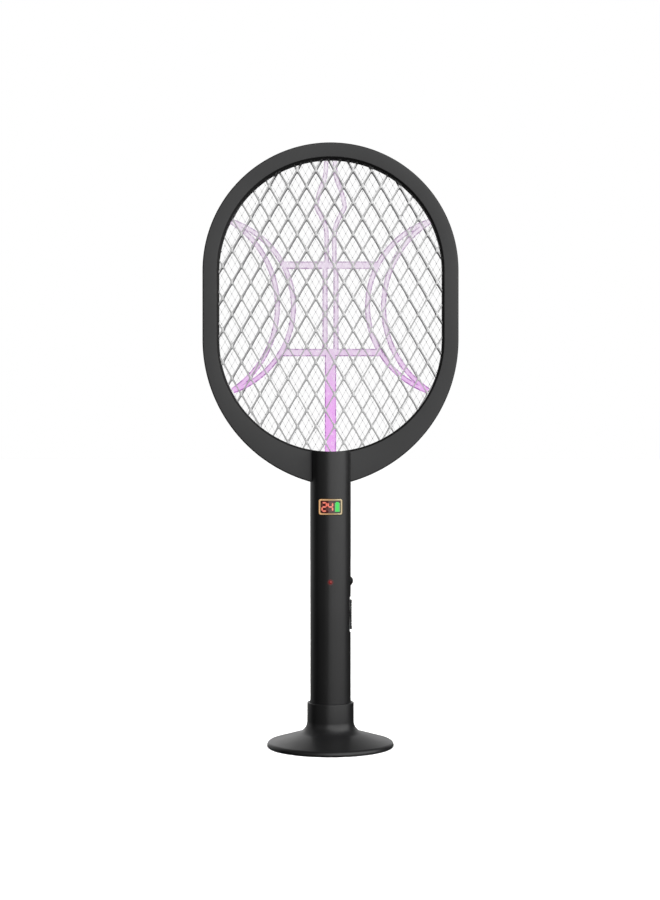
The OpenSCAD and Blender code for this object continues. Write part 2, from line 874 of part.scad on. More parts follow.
module stand_shell() {
    color(black) difference() {
        rotate_extrude() polygon(stand_outline);
        translate([0, 0, socket_floor_z]) cylinder(h = 2 * collar_h, r = socket_r);
        difference() {
            rotate_extrude() polygon(stand_hollow);
            at_stand_screws() translate([0, 0, weight_z[0]]) cylinder(h = 8, r = stand_boss_r);
        }
        at_stand_screws() cylinder(h = stand_screw_top_z + gap, r = screw_hole_r);
    }
}

module stand_weight() {
    color([0.4, 0.4, 0.42]) difference() {
        union() {
            translate([0, 0, weight_z[0]]) cylinder(h = weight_z[1] - weight_z[0], r = weight_r[0]);
            translate([0, 0, weight_z[0]]) cylinder(h = weight_z[2] - weight_z[0], r = weight_r[1]);
        }
        at_stand_screws() cylinder(h = 2 * weight_z[2], r = weight_hole_r);
    }
}

module stand_plate() {
    color(black) difference() {
        translate([0, 0, plate_z]) cylinder(h = plate_t, r = plate_r);
        at_stand_screws() {
            cylinder(h = 2 * weight_z[2], r = screw_hole_r);
            cylinder(h = plate_z + stand_head_t + eps, r = head_recess_r);
        }
    }
}

module stand_pad() {
    color([0.15, 0.15, 0.16]) cylinder(h = plate_z, r = pad_r);
}

module stand_screws() {
    color(steel) at_stand_screws() {
        translate([0, 0, plate_z + eps]) cylinder(h = stand_head_t, r = screw_head_r);
        translate([0, 0, plate_z + 0.5]) cylinder(h = stand_screw_top_z - plate_z - 0.5, r = screw_r);
    }
}

stand_shell();
stand_weight();
stand_plate();
stand_pad();
stand_screws();
front_frame();
rear_frame();
front_grille();
rear_grille();
front_spacer();
rear_spacer();
hv_net();
light_guide();
uv_board();
uv_leds();
frame_screws();
handle_front();
handle_rear();
handle_cap();
handle_screws();
display_bezel();
display_module();
lit_segments();
unlit_segments();
battery_gauge();
indicator_led();
main_board();
hv_transformer();
hv_capacitor();
tact_switch();
slide_switch();
charge_port();
battery_cradle();
battery_cell();
battery_spring();
battery_contact();
battery_leads();
hv_leads();
zap_button();
slider_knob();
switch_lever();
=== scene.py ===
"""Electric fly swatter in its stand: the looks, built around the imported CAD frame.

Metres, +Z up, -Y the front.
"""
import json
import math

import bmesh
import bpy
from mathutils import Matrix, Vector


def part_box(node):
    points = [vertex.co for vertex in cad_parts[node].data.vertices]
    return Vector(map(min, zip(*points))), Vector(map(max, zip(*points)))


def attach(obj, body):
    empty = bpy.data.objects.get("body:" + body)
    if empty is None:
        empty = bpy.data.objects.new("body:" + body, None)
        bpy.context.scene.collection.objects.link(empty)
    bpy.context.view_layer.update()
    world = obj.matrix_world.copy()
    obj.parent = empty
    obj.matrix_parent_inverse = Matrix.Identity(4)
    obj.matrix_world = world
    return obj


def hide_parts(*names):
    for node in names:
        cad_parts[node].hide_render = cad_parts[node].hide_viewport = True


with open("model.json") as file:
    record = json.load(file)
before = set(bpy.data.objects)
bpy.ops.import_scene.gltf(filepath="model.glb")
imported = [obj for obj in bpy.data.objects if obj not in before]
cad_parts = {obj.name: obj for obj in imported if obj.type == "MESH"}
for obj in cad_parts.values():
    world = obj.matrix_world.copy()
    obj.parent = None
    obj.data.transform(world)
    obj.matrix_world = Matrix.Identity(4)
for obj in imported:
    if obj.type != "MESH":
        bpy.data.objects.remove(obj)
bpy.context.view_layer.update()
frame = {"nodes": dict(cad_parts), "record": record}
MM = 0.001

# --- places, from the frame ---
OUTER_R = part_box("front_frame")[1].x
UPPER_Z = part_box("front_frame")[1].z - OUTER_R
RIM_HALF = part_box("rear_frame")[1].y
SPACER_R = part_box("rear_spacer")[1].x
OPENING_R = SPACER_R - 4.8 * MM
LOWER_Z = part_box("rear_spacer")[0].z + SPACER_R
NECK_FOOT_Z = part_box("front_frame")[0].z
GRILLE_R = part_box("front_grille")[1].x
GRILLE_IN_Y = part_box("front_grille")[1].y
LIP_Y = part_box("rear_grille")[1].y
NET_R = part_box("hv_net")[1].x
GUIDE_LOW, GUIDE_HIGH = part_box("light_guide")
HANDLE_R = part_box("handle_rear")[1].y
BASE_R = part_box("stand_shell")[1].x
COLLAR_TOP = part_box("stand_shell")[1].z
BUTTON_LOW, BUTTON_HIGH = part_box("zap_button")
BUTTON_Z = (BUTTON_LOW.z + BUTTON_HIGH.z) / 2
SLIDER_LOW, SLIDER_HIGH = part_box("slider_knob")
BEZEL_LOW, BEZEL_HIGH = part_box("display_bezel")
LAMP_LOW, LAMP_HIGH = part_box("indicator_led")
LAMP_Z = (LAMP_LOW.z + LAMP_HIGH.z) / 2

# --- sizes that the frame's boxes don't give ---
GOTHIC_STEP = 16.9 * MM  # how far the lower outline's two arcs are centred past the middle
RIM_BEVEL = 1.75 * MM
RIM_LAND = 0.25 * MM
EDGE_ROUND = 1.3 * MM
RIM_WALL = 1.9 * MM
SEAM = 0.3 * MM
JOINT_Y = 0.02 * MM  # the two rim shells meet this close to the middle
DIAMOND_W = 16 * MM
DIAMOND_H = 27.5 * MM
LATTICE_START = (3.4 * MM, UPPER_Z + 4.1 * MM)
SCREW_RING = OUTER_R - 5.1 * MM
POST_R = 3.4 * MM
TONGUE_HALF_W = 11 * MM
TONGUE_WALL = 1.8 * MM
GROOVE_X = (15.8 * MM, 17.1 * MM)
UPPER_SCREW_ANGLES = (18, 54, 90, 126, 162)
LOWER_SCREW_ANGLES = (198, 236, 304, 342)
HANDLE_SCREW_Z = (94 * MM, 157 * MM, 215 * MM)
BASE_SCREW_ANGLES = (90, 210, 330)
BASE_SCREW_RING = 34 * MM
RECESS_R = 2.6 * MM
RECESS_FLOOR = 3.6 * MM
SCREW_HOLE_R = 1.25 * MM
SHARP_ANGLE = 30  # degrees

# --- camera ---
EYE_X = -0.43 * MM
EYE_HEIGHT = 0.2544
EYE_DISTANCE = 1.4336
LENS = 66.68
SENSOR_WIDTH = 36
FAR_CLIP = 200


def add_object(name, data):
    """A new object in the scene."""
    thing = bpy.data.objects.new(name, data)
    bpy.context.scene.collection.objects.link(thing)
    return thing


def add_camera():
    """A level camera straight in front."""
    data = bpy.data.cameras.new("camera")
    data.lens = LENS
    data.sensor_width = SENSOR_WIDTH
    data.clip_end = FAR_CLIP
    camera = add_object("camera", data)
    camera.location = (EYE_X, -EYE_DISTANCE, EYE_HEIGHT)
    camera.rotation_euler = (math.radians(90), 0, 0)
    bpy.context.scene.camera = camera


# --- node materials ---
MIX_A, MIX_B, MIX_RESULT = 6, 7, 2  # a Mix node's colour sockets
WAVE_TURN = 6.283  # a Wave node's scale per turn
CLOUD, RUB = 14, 90  # noise per metre, for colour and for wear


class Shader:
    """A material whose nodes are added by short calls."""

    def __init__(self, name):
        self.material = bpy.data.materials.new(name)
        self.material.use_nodes = True
        self.tree = self.material.node_tree
        self.bsdf = self.tree.nodes["Principled BSDF"]
        self.coords = self.add("TexCoord").outputs["Object"]

    def link(self, socket, value):
        """Links a socket to another, or sets it to a number or a colour."""
        if isinstance(value, bpy.types.NodeSocket):
            self.tree.links.new(value, socket)
        elif socket.type == "RGBA":
            socket.default_value = (*value, 1)
        else:
            socket.default_value = value

    def add(self, kind, **inputs):
        """A new shader node with these inputs; an underscore stands for a space."""
        node = self.tree.nodes.new("ShaderNode" + kind)
        for key, value in inputs.items():
            self.link(node.inputs[key.replace("_", " ")], value)
        return node

    def set(self, **inputs):
        """Links or sets the shader's own inputs."""
        for key, value in inputs.items():
            self.link(self.bsdf.inputs[key.replace("_", " ")], value)

    def noise(self, scale, detail=3.0, roughness=0.5, stretch=None):
        """Noise in the object's own coordinates, so it moves with its piece."""
        vector = self.coords
        if stretch:
            vector = self.add("Mapping", Vector=vector, Scale=stretch).outputs["Vector"]
        noise = self.add("TexNoise", Vector=vector, Scale=scale, Detail=detail, Roughness=roughness)
        return noise.outputs["Fac"]

    def axis(self, name):
        """The X, Y or Z of the point."""
        return self.add("SeparateXYZ", Vector=self.coords).outputs[name]

    def normal_y(self):
        """The normal's Y, -1 to 1."""
        normal = self.add("NewGeometry").outputs["Normal"]
        return self.add("SeparateXYZ", Vector=normal).outputs["Y"]

    def flatness(self):
        """1 on faces square to Y, 0 on walls."""
        return self.math("ABSOLUTE", self.normal_y())

    def from_opening_line(self, rise):
        """The vector in X and Z from the middle line of the head's opening to a point raised a little."""
        z = self.math("ADD", self.axis("Z"), rise)
        middle = self.math("MINIMUM", self.math("MAXIMUM", z, LOWER_Z), UPPER_Z)
        reach = self.add("CombineXYZ", X=self.axis("X"), Z=self.math("SUBTRACT", z, middle))
        return reach.outputs["Vector"]

    def from_lamp(self):
        """Distance from the indicator lamp's axis."""
        rise = self.math("SUBTRACT", self.axis("Z"), LAMP_Z)
        across = self.axis("X")
        squared = self.math("ADD", self.math("MULTIPLY", across, across), self.math("MULTIPLY", rise, rise))
        return self.math("SQRT", squared)

    def ramp(self, value, first, second, start=0.3, end=0.7):
        """Maps start..end to two colours, held outside."""
        node = self.add("ValToRGB", Fac=value)
        for element, place, colour in zip(node.color_ramp.elements, (start, end), (first, second)):
            element.position = place
            element.color = (*colour, 1)
        return node.outputs["Color"]

    def span(self, value, low, high, start=0.0, end=1.0, smooth=False):
        """Maps start..end to low..high, held outside."""
        node = self.add("MapRange", Value=value)
        node.interpolation_type = "SMOOTHSTEP" if smooth else "LINEAR"
        for key, number in (("From Min", start), ("From Max", end), ("To Min", low), ("To Max", high)):
            node.inputs[key].default_value = number
        return node.outputs["Result"]

    def math(self, operation, a, b=0.0):
        """A sum of one or two values."""
        node = self.add("Math")
        node.operation = operation
        self.link(node.inputs[0], a)
        self.link(node.inputs[1], b)
        return node.outputs["Value"]

    def mix(self, factor, a, b, blend="MIX"):
        """Colour a turning to colour b by a factor."""
        node = self.add("Mix")
        node.data_type = "RGBA"
        node.blend_type = blend
        self.link(node.inputs["Factor"], factor)
        self.link(node.inputs[MIX_A], a)
        self.link(node.inputs[MIX_B], b)
        return node.outputs[MIX_RESULT]

    def bump(self, height, strength, distance):
        """Fine relief, too small for the mesh."""
        node = self.add("Bump", Height=height, Strength=strength, Distance=distance)
        self.link(self.bsdf.inputs["Normal"], node.outputs["Normal"])


def plastic_finish(s, colour, rough, gloss, grain, depth):
    """Spark-eroded grain, and faint rubbing that runs lengthwise."""
    rub = s.noise(RUB, 5, 0.65, (1, 1, 0.35))
    s.set(Base_Color=colour, Roughness=s.span(rub, rough - 0.05, rough + 0.07), Specular_IOR_Level=gloss)
    s.bump(s.noise(grain, 2, 0.6), 0.35, depth)


def moulded_plastic(s, dark, light, rough, grain, depth, gloss=0.5, lamp_glow=False):
    """Moulded plastic of a cloudy colour; it may carry the lamp's glow round the lamp's hole."""
    if lamp_glow:
        near = s.span(s.from_lamp(), 1, 0, 1.2 * MM, 3.3 * MM, True)
        in_front = s.span(s.axis("Y"), 1, 0, -3 * MM, 0)
        glow = s.mix(s.math("MULTIPLY", near, in_front), (0, 0, 0), (0.1, 0.005, 0.005))
        s.set(Emission_Color=glow, Emission_Strength=1.0)
    plastic_finish(s, s.ramp(s.noise(CLOUD, 4), dark, light), rough, gloss, grain, depth)


def rim_plastic(s):
    """The head's satin faces, and painted shade on its bevels, roundings and walls, which are coloured near
    black.
    """
    # Painted shade: every face that is not square to Y is coloured near black, as if out of the light.
    black = s.span(s.flatness(), 1, 0, 0.72, 0.95, True)
    face = s.ramp(s.noise(CLOUD, 4), (0.044, 0.044, 0.0445), (0.051, 0.051, 0.0515))
    plastic_finish(s, s.mix(black, face, (0.007, 0.007, 0.007)), 0.55, 0.2, 1500, 0.03 * MM)


def metal(s, dark, light, rough, stretch=(1, 1, 1), metallic=1.0):
    """Metal with drawn or rolled streaks and a little stain."""
    streak = s.noise(260, 4, 0.6, stretch)
    s.set(Base_Color=s.ramp(s.noise(60, 3), dark, light, 0.25, 0.75), Metallic=metallic,
          Roughness=s.span(streak, rough - 0.08, rough + 0.1))
    s.bump(streak, 0.25, 0.02 * MM)


def glowing(s, colour, core, strength):
    """A lit segment, brighter in patches where its lamp sits."""
    tint = s.ramp(s.noise(420, 2), colour, core, 0.35, 0.7)
    s.set(Base_Color=(0.08, 0.02, 0.02), Emission_Color=tint, Emission_Strength=strength, Roughness=0.3)


def grille_steel(s):
    """Plated satin sheet, with painted shade on its faces that look inwards, a painted highlight on its
    bonds and a painted shadow of the rim's upper lip along its upper edge.
    """
    # Painted shade: the faces that look inwards, towards the other grille, get a much darker colour than the
    # faces that look out.
    facing_out = s.math("MULTIPLY", s.normal_y(), s.math("SIGN", s.axis("Y")))
    outside = s.span(facing_out, 0, 1, 0.25, 0.6, True)
    waves = []
    for axis, start, step in (("X", LATTICE_START[0], DIAMOND_W), ("Z", LATTICE_START[1], DIAMOND_H)):
        phase = s.math("MULTIPLY", s.math("SUBTRACT", s.axis(axis), start), 2 * math.pi / step)
        waves.append(s.math("COSINE", phase))
    # Painted highlight: the bonds get a lighter colour than the strands.
    bond_mask = s.span(s.math("MULTIPLY", *waves), 0, 1, 0.84, 0.95, True)
    stain = s.noise(60, 3)
    strand = s.ramp(stain, (0.4, 0.4, 0.4), (0.49, 0.49, 0.49))
    bond_highlight = s.ramp(stain, (0.54, 0.54, 0.54), (0.64, 0.64, 0.64))
    steel = s.mix(outside, (0.17, 0.17, 0.175), s.mix(bond_mask, strand, bond_highlight))
    # Painted shadow: a crescent along the upper edge of the opening, where the rim's upper lip shades the
    # sheet, is coloured near black.
    reach = s.add("VectorMath", Vector=s.from_opening_line(2.4 * MM))
    reach.operation = "LENGTH"
    lip_shadow = s.span(reach.outputs["Value"], 0, 1, OPENING_R - 0.3 * MM, OPENING_R + 0.1 * MM)
    s.set(Base_Color=s.mix(lip_shadow, steel, (0.02, 0.02, 0.02)), Metallic=0.3,
          Roughness=s.span(s.noise(260, 4, 0.6), 0.38, 0.55))
    s.bump(s.noise(900, 3), 0.25, 0.02 * MM)


def net_wire(s):
    """Fine bright wire, with darker weld beads where the wires cross."""
    bead = s.span(s.math("ABSOLUTE", s.axis("Y")), 0, 1, 0.08 * MM, 0.16 * MM, True)
    wire = s.ramp(s.noise(700, 3), (0.42, 0.42, 0.43), (0.6, 0.6, 0.61))
    s.set(Base_Color=s.mix(bead, wire, (0.12, 0.12, 0.125)), Metallic=0.3,
          Roughness=s.span(s.noise(300, 3), 0.35, 0.5))
    s.bump(s.noise(1200, 2), 0.2, 0.01 * MM)


def rubber(s, colour, rough=0.75):
    """Rubber, a wire's sleeve or a resin body: mottled, with a fine leathery grain."""
    paler = tuple(1.6 * c for c in colour)
    s.set(Base_Color=s.ramp(s.noise(300, 4), colour, paler, 0.3, 0.8),
          Roughness=s.span(s.noise(700, 3), rough - 0.08, rough + 0.08))
    s.bump(s.noise(2600, 2), 0.5, 0.02 * MM)


def circuit_board(s):
    """Green lacquer over copper tracks that show as a lighter pattern."""
    cell = s.add("TexVoronoi", Vector=s.coords, Scale=420.0)
    cell.distance = "CHEBYCHEV"
    track = s.span(cell.outputs["Distance"], 0, 1, 0.32, 0.36)
    s.set(Base_Color=s.mix(track, (0.02, 0.14, 0.05), (0.05, 0.27, 0.1)),
          Roughness=s.span(s.noise(900), 0.25, 0.4))
    s.bump(track, 0.5, 0.03 * MM)


def banded(s, dark, light, pitch, rough):
    """Wound tape or a shrunk sleeve: fine level bands with a soft wave."""
    wave = s.add("TexWave", Vector=s.coords, Scale=1 / (pitch * WAVE_TURN), Distortion=1.2, Detail=2.0)
    wave.bands_direction = "Z"
    height = wave.outputs["Fac"]
    s.set(Base_Color=s.ramp(height, dark, light, 0.2, 0.8),
          Roughness=s.span(s.noise(300), rough, rough + 0.15))
    s.bump(height, 0.4, 0.05 * MM)


def display_glass(s):
    """Dark window, tinted red round the lit digits by their stray light."""
    x = s.axis("X")
    glow = s.math("MULTIPLY", s.span(x, 0, 1, -9 * MM, -7.5 * MM, True),
                  s.span(x, 1, 0, 1.5 * MM, 4.5 * MM, True))
    speck = s.span(s.noise(900, 3), 0.5, 1.1)
    s.set(Base_Color=s.ramp(s.noise(200, 3), (0.006, 0.004, 0.005), (0.012, 0.008, 0.009)),
          Roughness=s.span(s.noise(500), 0.12, 0.22),
          Emission_Color=s.mix(glow, (0.012, 0.008, 0.004), (0.06, 0.004, 0.002)), Emission_Strength=speck)


def amber_frame(s):
    """Gold-toned plastic that carries some of the display's light, warmer beside the red digits."""
    side = s.span(s.axis("X"), 0, 1, -8 * MM, 8 * MM, True)
    cloud = s.ramp(s.noise(500, 3), (0.86, 0.86, 0.86), (1, 1, 1))
    glow = s.mix(1.0, s.mix(side, (0.6, 0.33, 0.15), (0.33, 0.27, 0.15)), cloud, "MULTIPLY")
    s.set(Base_Color=s.mix(side, (0.45, 0.27, 0.13), (0.36, 0.29, 0.18)), Emission_Color=glow,
          Emission_Strength=0.75, Roughness=s.span(s.noise(900), 0.35, 0.5))
    s.bump(s.noise(1500, 2), 0.2, 0.01 * MM)


def unlit_segment(s):
    """A dark segment with a painted faint red glow, standing in for light spilt from its lit neighbours."""
    tint = s.ramp(s.noise(600, 3), (0.05, 0.014, 0.012), (0.085, 0.028, 0.024))
    s.set(Base_Color=tint, Emission_Color=tint, Emission_Strength=1.0, Roughness=0.35)


def gauge_green(s):
    """The battery sign: bright border, deeper green in the middle."""
    low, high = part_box("battery_gauge")
    across = s.math("ABSOLUTE", s.math("SUBTRACT", s.axis("X"), (low.x + high.x) / 2))
    border = s.span(across, 0, 1, 0.9 * MM, 1.9 * MM, True)
    tint = s.mix(border, (0.03, 0.68, 0.08), (0.15, 0.46, 0.17))
    s.set(Base_Color=(0.01, 0.06, 0.015), Emission_Color=tint,
          Emission_Strength=s.span(s.noise(500), 0.85, 1.1), Roughness=0.3)


def lamp_red(s):
    """Red lens: a warm core under a darker skin."""
    edge = s.span(s.from_lamp(), 0, 1, 0.5 * MM, 1.5 * MM, True)
    tint = s.mix(edge, (0.25, 0.022, 0.02), (0.16, 0.022, 0.02))
    s.set(Base_Color=(0.12, 0.02, 0.02), Emission_Color=tint,
          Emission_Strength=s.span(s.noise(700), 0.62, 0.8), Roughness=0.25)


def violet_guide(s):
    """Clear acrylic that carries violet light: strongest at the foot, with painted dark lines along its
    rounded edges where light bends.
    """
    z = s.axis("Z")
    near = s.span(z, 1, 0, GUIDE_LOW.z + 35 * MM, GUIDE_LOW.z + 112 * MM, True)
    far = s.span(z, 1, 0, GUIDE_LOW.z + 70 * MM, GUIDE_HIGH.z, True)
    broken = s.span(s.noise(420, 2), 0.1, 1, 0.42, 0.58, True)
    # Painted shade: faces that are not square to Y glow a darker violet and are less clear, standing in for
    # light bent at the rounded edges.
    edge = s.math("MULTIPLY", s.span(s.flatness(), 1, 0, 0.75, 0.92, True), broken)
    streak = s.noise(260, 4, 0.6, (2, 2, 1))
    core = s.mix(near, (0.7, 0.57, 0.72), (0.8, 0.38, 0.84))
    rim = s.mix(near, (0.32, 0.2, 0.35), (0.4, 0.14, 0.46))
    inner = s.math("ADD", s.math("MULTIPLY", near, 0.28), s.math("ADD", s.math("MULTIPLY", far, 0.24), 0.3))
    inner = s.math("MULTIPLY", inner, s.span(streak, 0.35, 1.6, 0.35, 0.65))
    alpha = s.math("ADD", inner, s.math("MULTIPLY", edge, 0.34))
    s.set(Base_Color=(0.05, 0.03, 0.06), Emission_Color=s.mix(edge, core, rim), Emission_Strength=0.96,
          Roughness=0.2, Specular_IOR_Level=0.3, Alpha=s.math("MINIMUM", alpha, 1.0))


FINISHES = {
    # slot: (recipe, the recipe's arguments)
    "frame_black": (rim_plastic,),
    "handle_black": (moulded_plastic, (0.011, 0.011, 0.0113), (0.015, 0.015, 0.0154),
                    0.37, 1900, 0.012 * MM, 0.5, True),
    "stand_black": (moulded_plastic, (0.012, 0.012, 0.0123), (0.0155, 0.0155, 0.016),
                    0.34, 1900, 0.012 * MM),
    "control_black": (moulded_plastic, (0.006, 0.006, 0.006), (0.0095, 0.0095, 0.0095),
                    0.42, 2400, 0.02 * MM, 0.2),
    "spacer_plastic": (moulded_plastic, (0.006, 0.006, 0.006), (0.01, 0.01, 0.0105),
                    0.85, 1200, 0.03 * MM),
    "grille_metal": (grille_steel,),
    "net_wire": (net_wire,),
    "light_guide": (violet_guide,),
    "circuit_board": (circuit_board,),
    "led_package": (rubber, (0.55, 0.5, 0.36), 0.4),
    "screw_steel": (metal, (0.3, 0.3, 0.31), (0.45, 0.45, 0.46), 0.3),
    "contact_steel": (metal, (0.3, 0.3, 0.31), (0.44, 0.44, 0.45), 0.25, (1, 1, 6)),
    "bezel_gold": (amber_frame,),
    "display_face": (display_glass,),
    "lit_red": (glowing, (0.86, 0.17, 0.11), (0.95, 0.3, 0.22), 1.0),
    "unlit_grey": (unlit_segment,),
    "gauge_green": (gauge_green,),
    "led_red": (lamp_red,),
    "coil_tape": (banded, (0.5, 0.34, 0.04), (0.72, 0.52, 0.1), 0.6 * MM, 0.35),
    "capacitor_red": (rubber, (0.3, 0.05, 0.02), 0.35),
    "switch_body": (rubber, (0.02, 0.02, 0.02), 0.5),
    "cell_wrap": (banded, (0.02, 0.11, 0.3), (0.03, 0.16, 0.4), 9 * MM, 0.25),
    "wire_red": (rubber, (0.4, 0.02, 0.02), 0.45),
    "weight_iron": (metal, (0.12, 0.12, 0.12), (0.2, 0.19, 0.18), 0.6, (1, 1, 1), 0.8),
    "pad_rubber": (rubber, (0.02, 0.02, 0.02)),
}


def slot_materials():
    """One material for each of the record's material slots, named after it."""
    materials = {}
    for slot, (recipe, *arguments) in FINISHES.items():
        s = Shader(slot)
        recipe(s, *arguments)
        materials[slot] = s.material
    return materials


MATERIALS = slot_materials()


# --- mesh helpers ---
def mesh_from(name, bm):
    """A mesh with the faces of a bmesh, turned outwards; the bmesh is used up."""
    bmesh.ops.recalc_face_normals(bm, faces=bm.faces)
    mesh = bpy.data.meshes.new(name)
    bm.to_mesh(mesh)
    bm.free()
    return mesh


def shade(mesh, sharp_angle=SHARP_ANGLE):
    """Smooth shading, apart from edges sharper than an angle."""
    mesh.polygons.foreach_set("use_smooth", [True] * len(mesh.polygons))
    mesh.set_sharp_from_angle(angle=math.radians(sharp_angle))


def new_piece(name, bm, body, slot_name, replaced, sharp_angle=SHARP_ANGLE):
    """Turns a bmesh into a piece that rides on a body and stands for a CAD node."""
    mesh = mesh_from(name, bm)
    mesh.materials.append(MATERIALS[slot_name])
    shade(mesh, sharp_angle)
    piece = add_object(name, mesh)
    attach(piece, body)
    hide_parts(replaced)
    return piece


def skin(bm, rings, closed_along=False, caps=False):
    """Faces between closed rings of points; returns the rings of vertices."""
    rows = [[bm.verts.new(p) for p in ring] for ring in rings]
    pairs = list(zip(rows, rows[1:]))
    if closed_along:
        pairs.append((rows[-1], rows[0]))
    n = len(rows[0])
    for a, b in pairs:
        for k in range(n):
            j = (k + 1) % n
            bm.faces.new((a[k], a[j], b[j], b[k]))
    if caps:
        bm.faces.new(rows[0])
        bm.faces.new(rows[-1][::-1])
    return rows


def turns(steps):
    """Evenly spaced angles, once round."""
    return [2 * math.pi * k / steps for k in range(steps)]


def unit(a):
    """The unit vector at an angle."""
    return Vector((math.cos(a), math.sin(a)))


def lathe(bm, profile, steps, matrix=Matrix.Identity(4)):
    """A closed solid turned round Z from (r, z) points; the first and last have r = 0."""
    rows = skin(bm, [[matrix @ Vector((r * math.cos(a), r * math.sin(a), z)) for a in turns(steps)]
                     for r, z in profile[1:-1]])
    for end, row in ((profile[0], rows[0]), (profile[-1], rows[-1])):
        pole = bm.verts.new(matrix @ Vector((0, 0, end[1])))
        for k in range(steps):
            bm.faces.new((row[k], row[(k + 1) % steps], pole))


def tube(bm, outer, inner, low, high, steps, matrix):
    """A closed pipe along the matrix's Z axis."""
    section = [(outer, low), (outer, high), (inner, high), (inner, low)]
    skin(bm, [[matrix @ Vector((r * math.cos(a), r * math.sin(a), z)) for r, z in section]
              for a in turns(steps)], closed_along=True)


def arc_points(cx, cy, r, start, end, steps):
    """Points on an arc, angles in degrees."""
    angles = [math.radians(start + (end - start) * k / steps) for k in range(steps + 1)]
    return [(cx + r * math.cos(a), cy + r * math.sin(a)) for a in angles]


def round_rectangle(width, height, r, steps):
    """Corner arcs of a rounded rectangle about the origin, anticlockwise."""
    points = []
    for sx, sy, start in ((1, 1, 0), (-1, 1, 90), (-1, -1, 180), (1, -1, 270)):
        points += arc_points(sx * (width / 2 - r), sy * (height / 2 - r), r, start, start + 90, steps)
    return points


def facing_y(x, z, side):
    """A frame whose Z axis looks along Y, forwards or backwards, at a place in X and Z."""
    return Matrix.Translation((x, 0, z)) @ Matrix.Rotation(math.radians(-90 * side), 4, "X")


def from_opening(x, z):
    """Distance of a point from the middle line of the head's opening."""
    return math.hypot(x, z - min(max(z, LOWER_Z), UPPER_Z))


def cut(piece, cutter_bm):
    """Takes a bmesh's solids out of a piece."""
    combine(piece, mesh_from("cutter", cutter_bm), "DIFFERENCE")


def combine(piece, mesh, operation):
    """Joins a mesh to a piece or takes it out, and keeps the result as the piece's mesh."""
    tool = add_object("tool", mesh)
    modifier = piece.modifiers.new("combine", "BOOLEAN")
    modifier.operation = operation
    modifier.solver = "EXACT"
    modifier.object = tool
    bpy.context.view_layer.update()
    result = bpy.data.meshes.new_from_object(piece.evaluated_get(bpy.context.evaluated_depsgraph_get()))
    piece.modifiers.clear()
    piece.data = result
    bpy.data.objects.remove(tool)
    bpy.data.meshes.remove(mesh)


# --- head ---
LOWER_STEPS = 64
SIDE_STEPS = 8
UPPER_STEPS = 72


def outline_stations():
    """(inner point, outer point, inner normal, outer normal) in X and Z, once round the head."""
    half = []
    tip = math.degrees(math.acos(GOTHIC_STEP / (OUTER_R + GOTHIC_STEP)))
    for k in range(LOWER_STEPS + 1):
        t = k / LOWER_STEPS
        ni = unit(math.radians(-90 * (1 - t)))
        no = unit(math.radians(-tip * (1 - t)))
        half.append((Vector((0, LOWER_Z)) + OPENING_R * ni,
                     Vector((-GOTHIC_STEP, LOWER_Z)) + (OUTER_R + GOTHIC_STEP) * no, ni, no))
    for k in range(1, SIDE_STEPS):
        z = LOWER_Z + (UPPER_Z - LOWER_Z) * k / SIDE_STEPS
        n = Vector((1, 0))
        half.append((Vector((OPENING_R, z)), Vector((OUTER_R, z)), n, n))
    for k in range(UPPER_STEPS + 1):
        n = unit(math.radians(90 * k / UPPER_STEPS))
        half.append((Vector((0, UPPER_Z)) + OPENING_R * n, Vector((0, UPPER_Z)) + OUTER_R * n, n, n))
    down = Vector((0, -1))
    half[0] = (half[0][0], half[0][1], down, down)
    mirrored = [tuple(Vector((-v.x, v.y)) for v in station) for station in reversed(half[1:-1])]
    return half + mirrored


def rim_section(side):
    """(on outer, offset, y) points of a rim shell's cross-section; side is -1 in front, 1 behind."""
    face = RIM_HALF
    land = LIP_Y + RIM_LAND
    soft, near, flat = 0.35 * MM, 0.1 * MM, 0.25 * MM  # how far from the face's edge
    points = [(0, 0, LIP_Y), (0, 0, land), (0, 0.12 * MM, land + 0.1 * MM)]
    points += [(0, RIM_BEVEL - soft, face - soft), (0, RIM_BEVEL - near, face - near),
               (0, RIM_BEVEL + flat, face), (1, -EDGE_ROUND - flat, face)]
    round_steps = 8
    for k in range(round_steps + 1):
        a = math.radians(90 - 90 * k / round_steps)
        points.append((1, -EDGE_ROUND * (1 - math.cos(a)), face - EDGE_ROUND * (1 - math.sin(a))))
    points += [(1, 0, SEAM), (1, -SEAM, JOINT_Y), (1, -RIM_WALL, JOINT_Y), (1, -RIM_WALL, LIP_Y)]
    return [(on, off, side * y) for on, off, y in points]


def screw_places():
    """The rim screws' places in X and Z."""
    upper = [(math.radians(a), UPPER_Z) for a in UPPER_SCREW_ANGLES]
    lower = [(math.radians(a), LOWER_Z) for a in LOWER_SCREW_ANGLES]
    return [(SCREW_RING * math.cos(a), z + SCREW_RING * math.sin(a)) for a, z in upper + lower]


def rim_shell(side):
    """The outer shell of one half of the rim."""
    bm = bmesh.new()
    section = rim_section(side)
    rings = []
    for inner, outer, ni, no in outline_stations():
        places = [outer + no * off if on else inner + ni * off for on, off, _ in section]
        rings.append([Vector((p.x, y, p.y)) for p, (_, _, y) in zip(places, section)])
    skin(bm, rings, closed_along=True)
    return bm


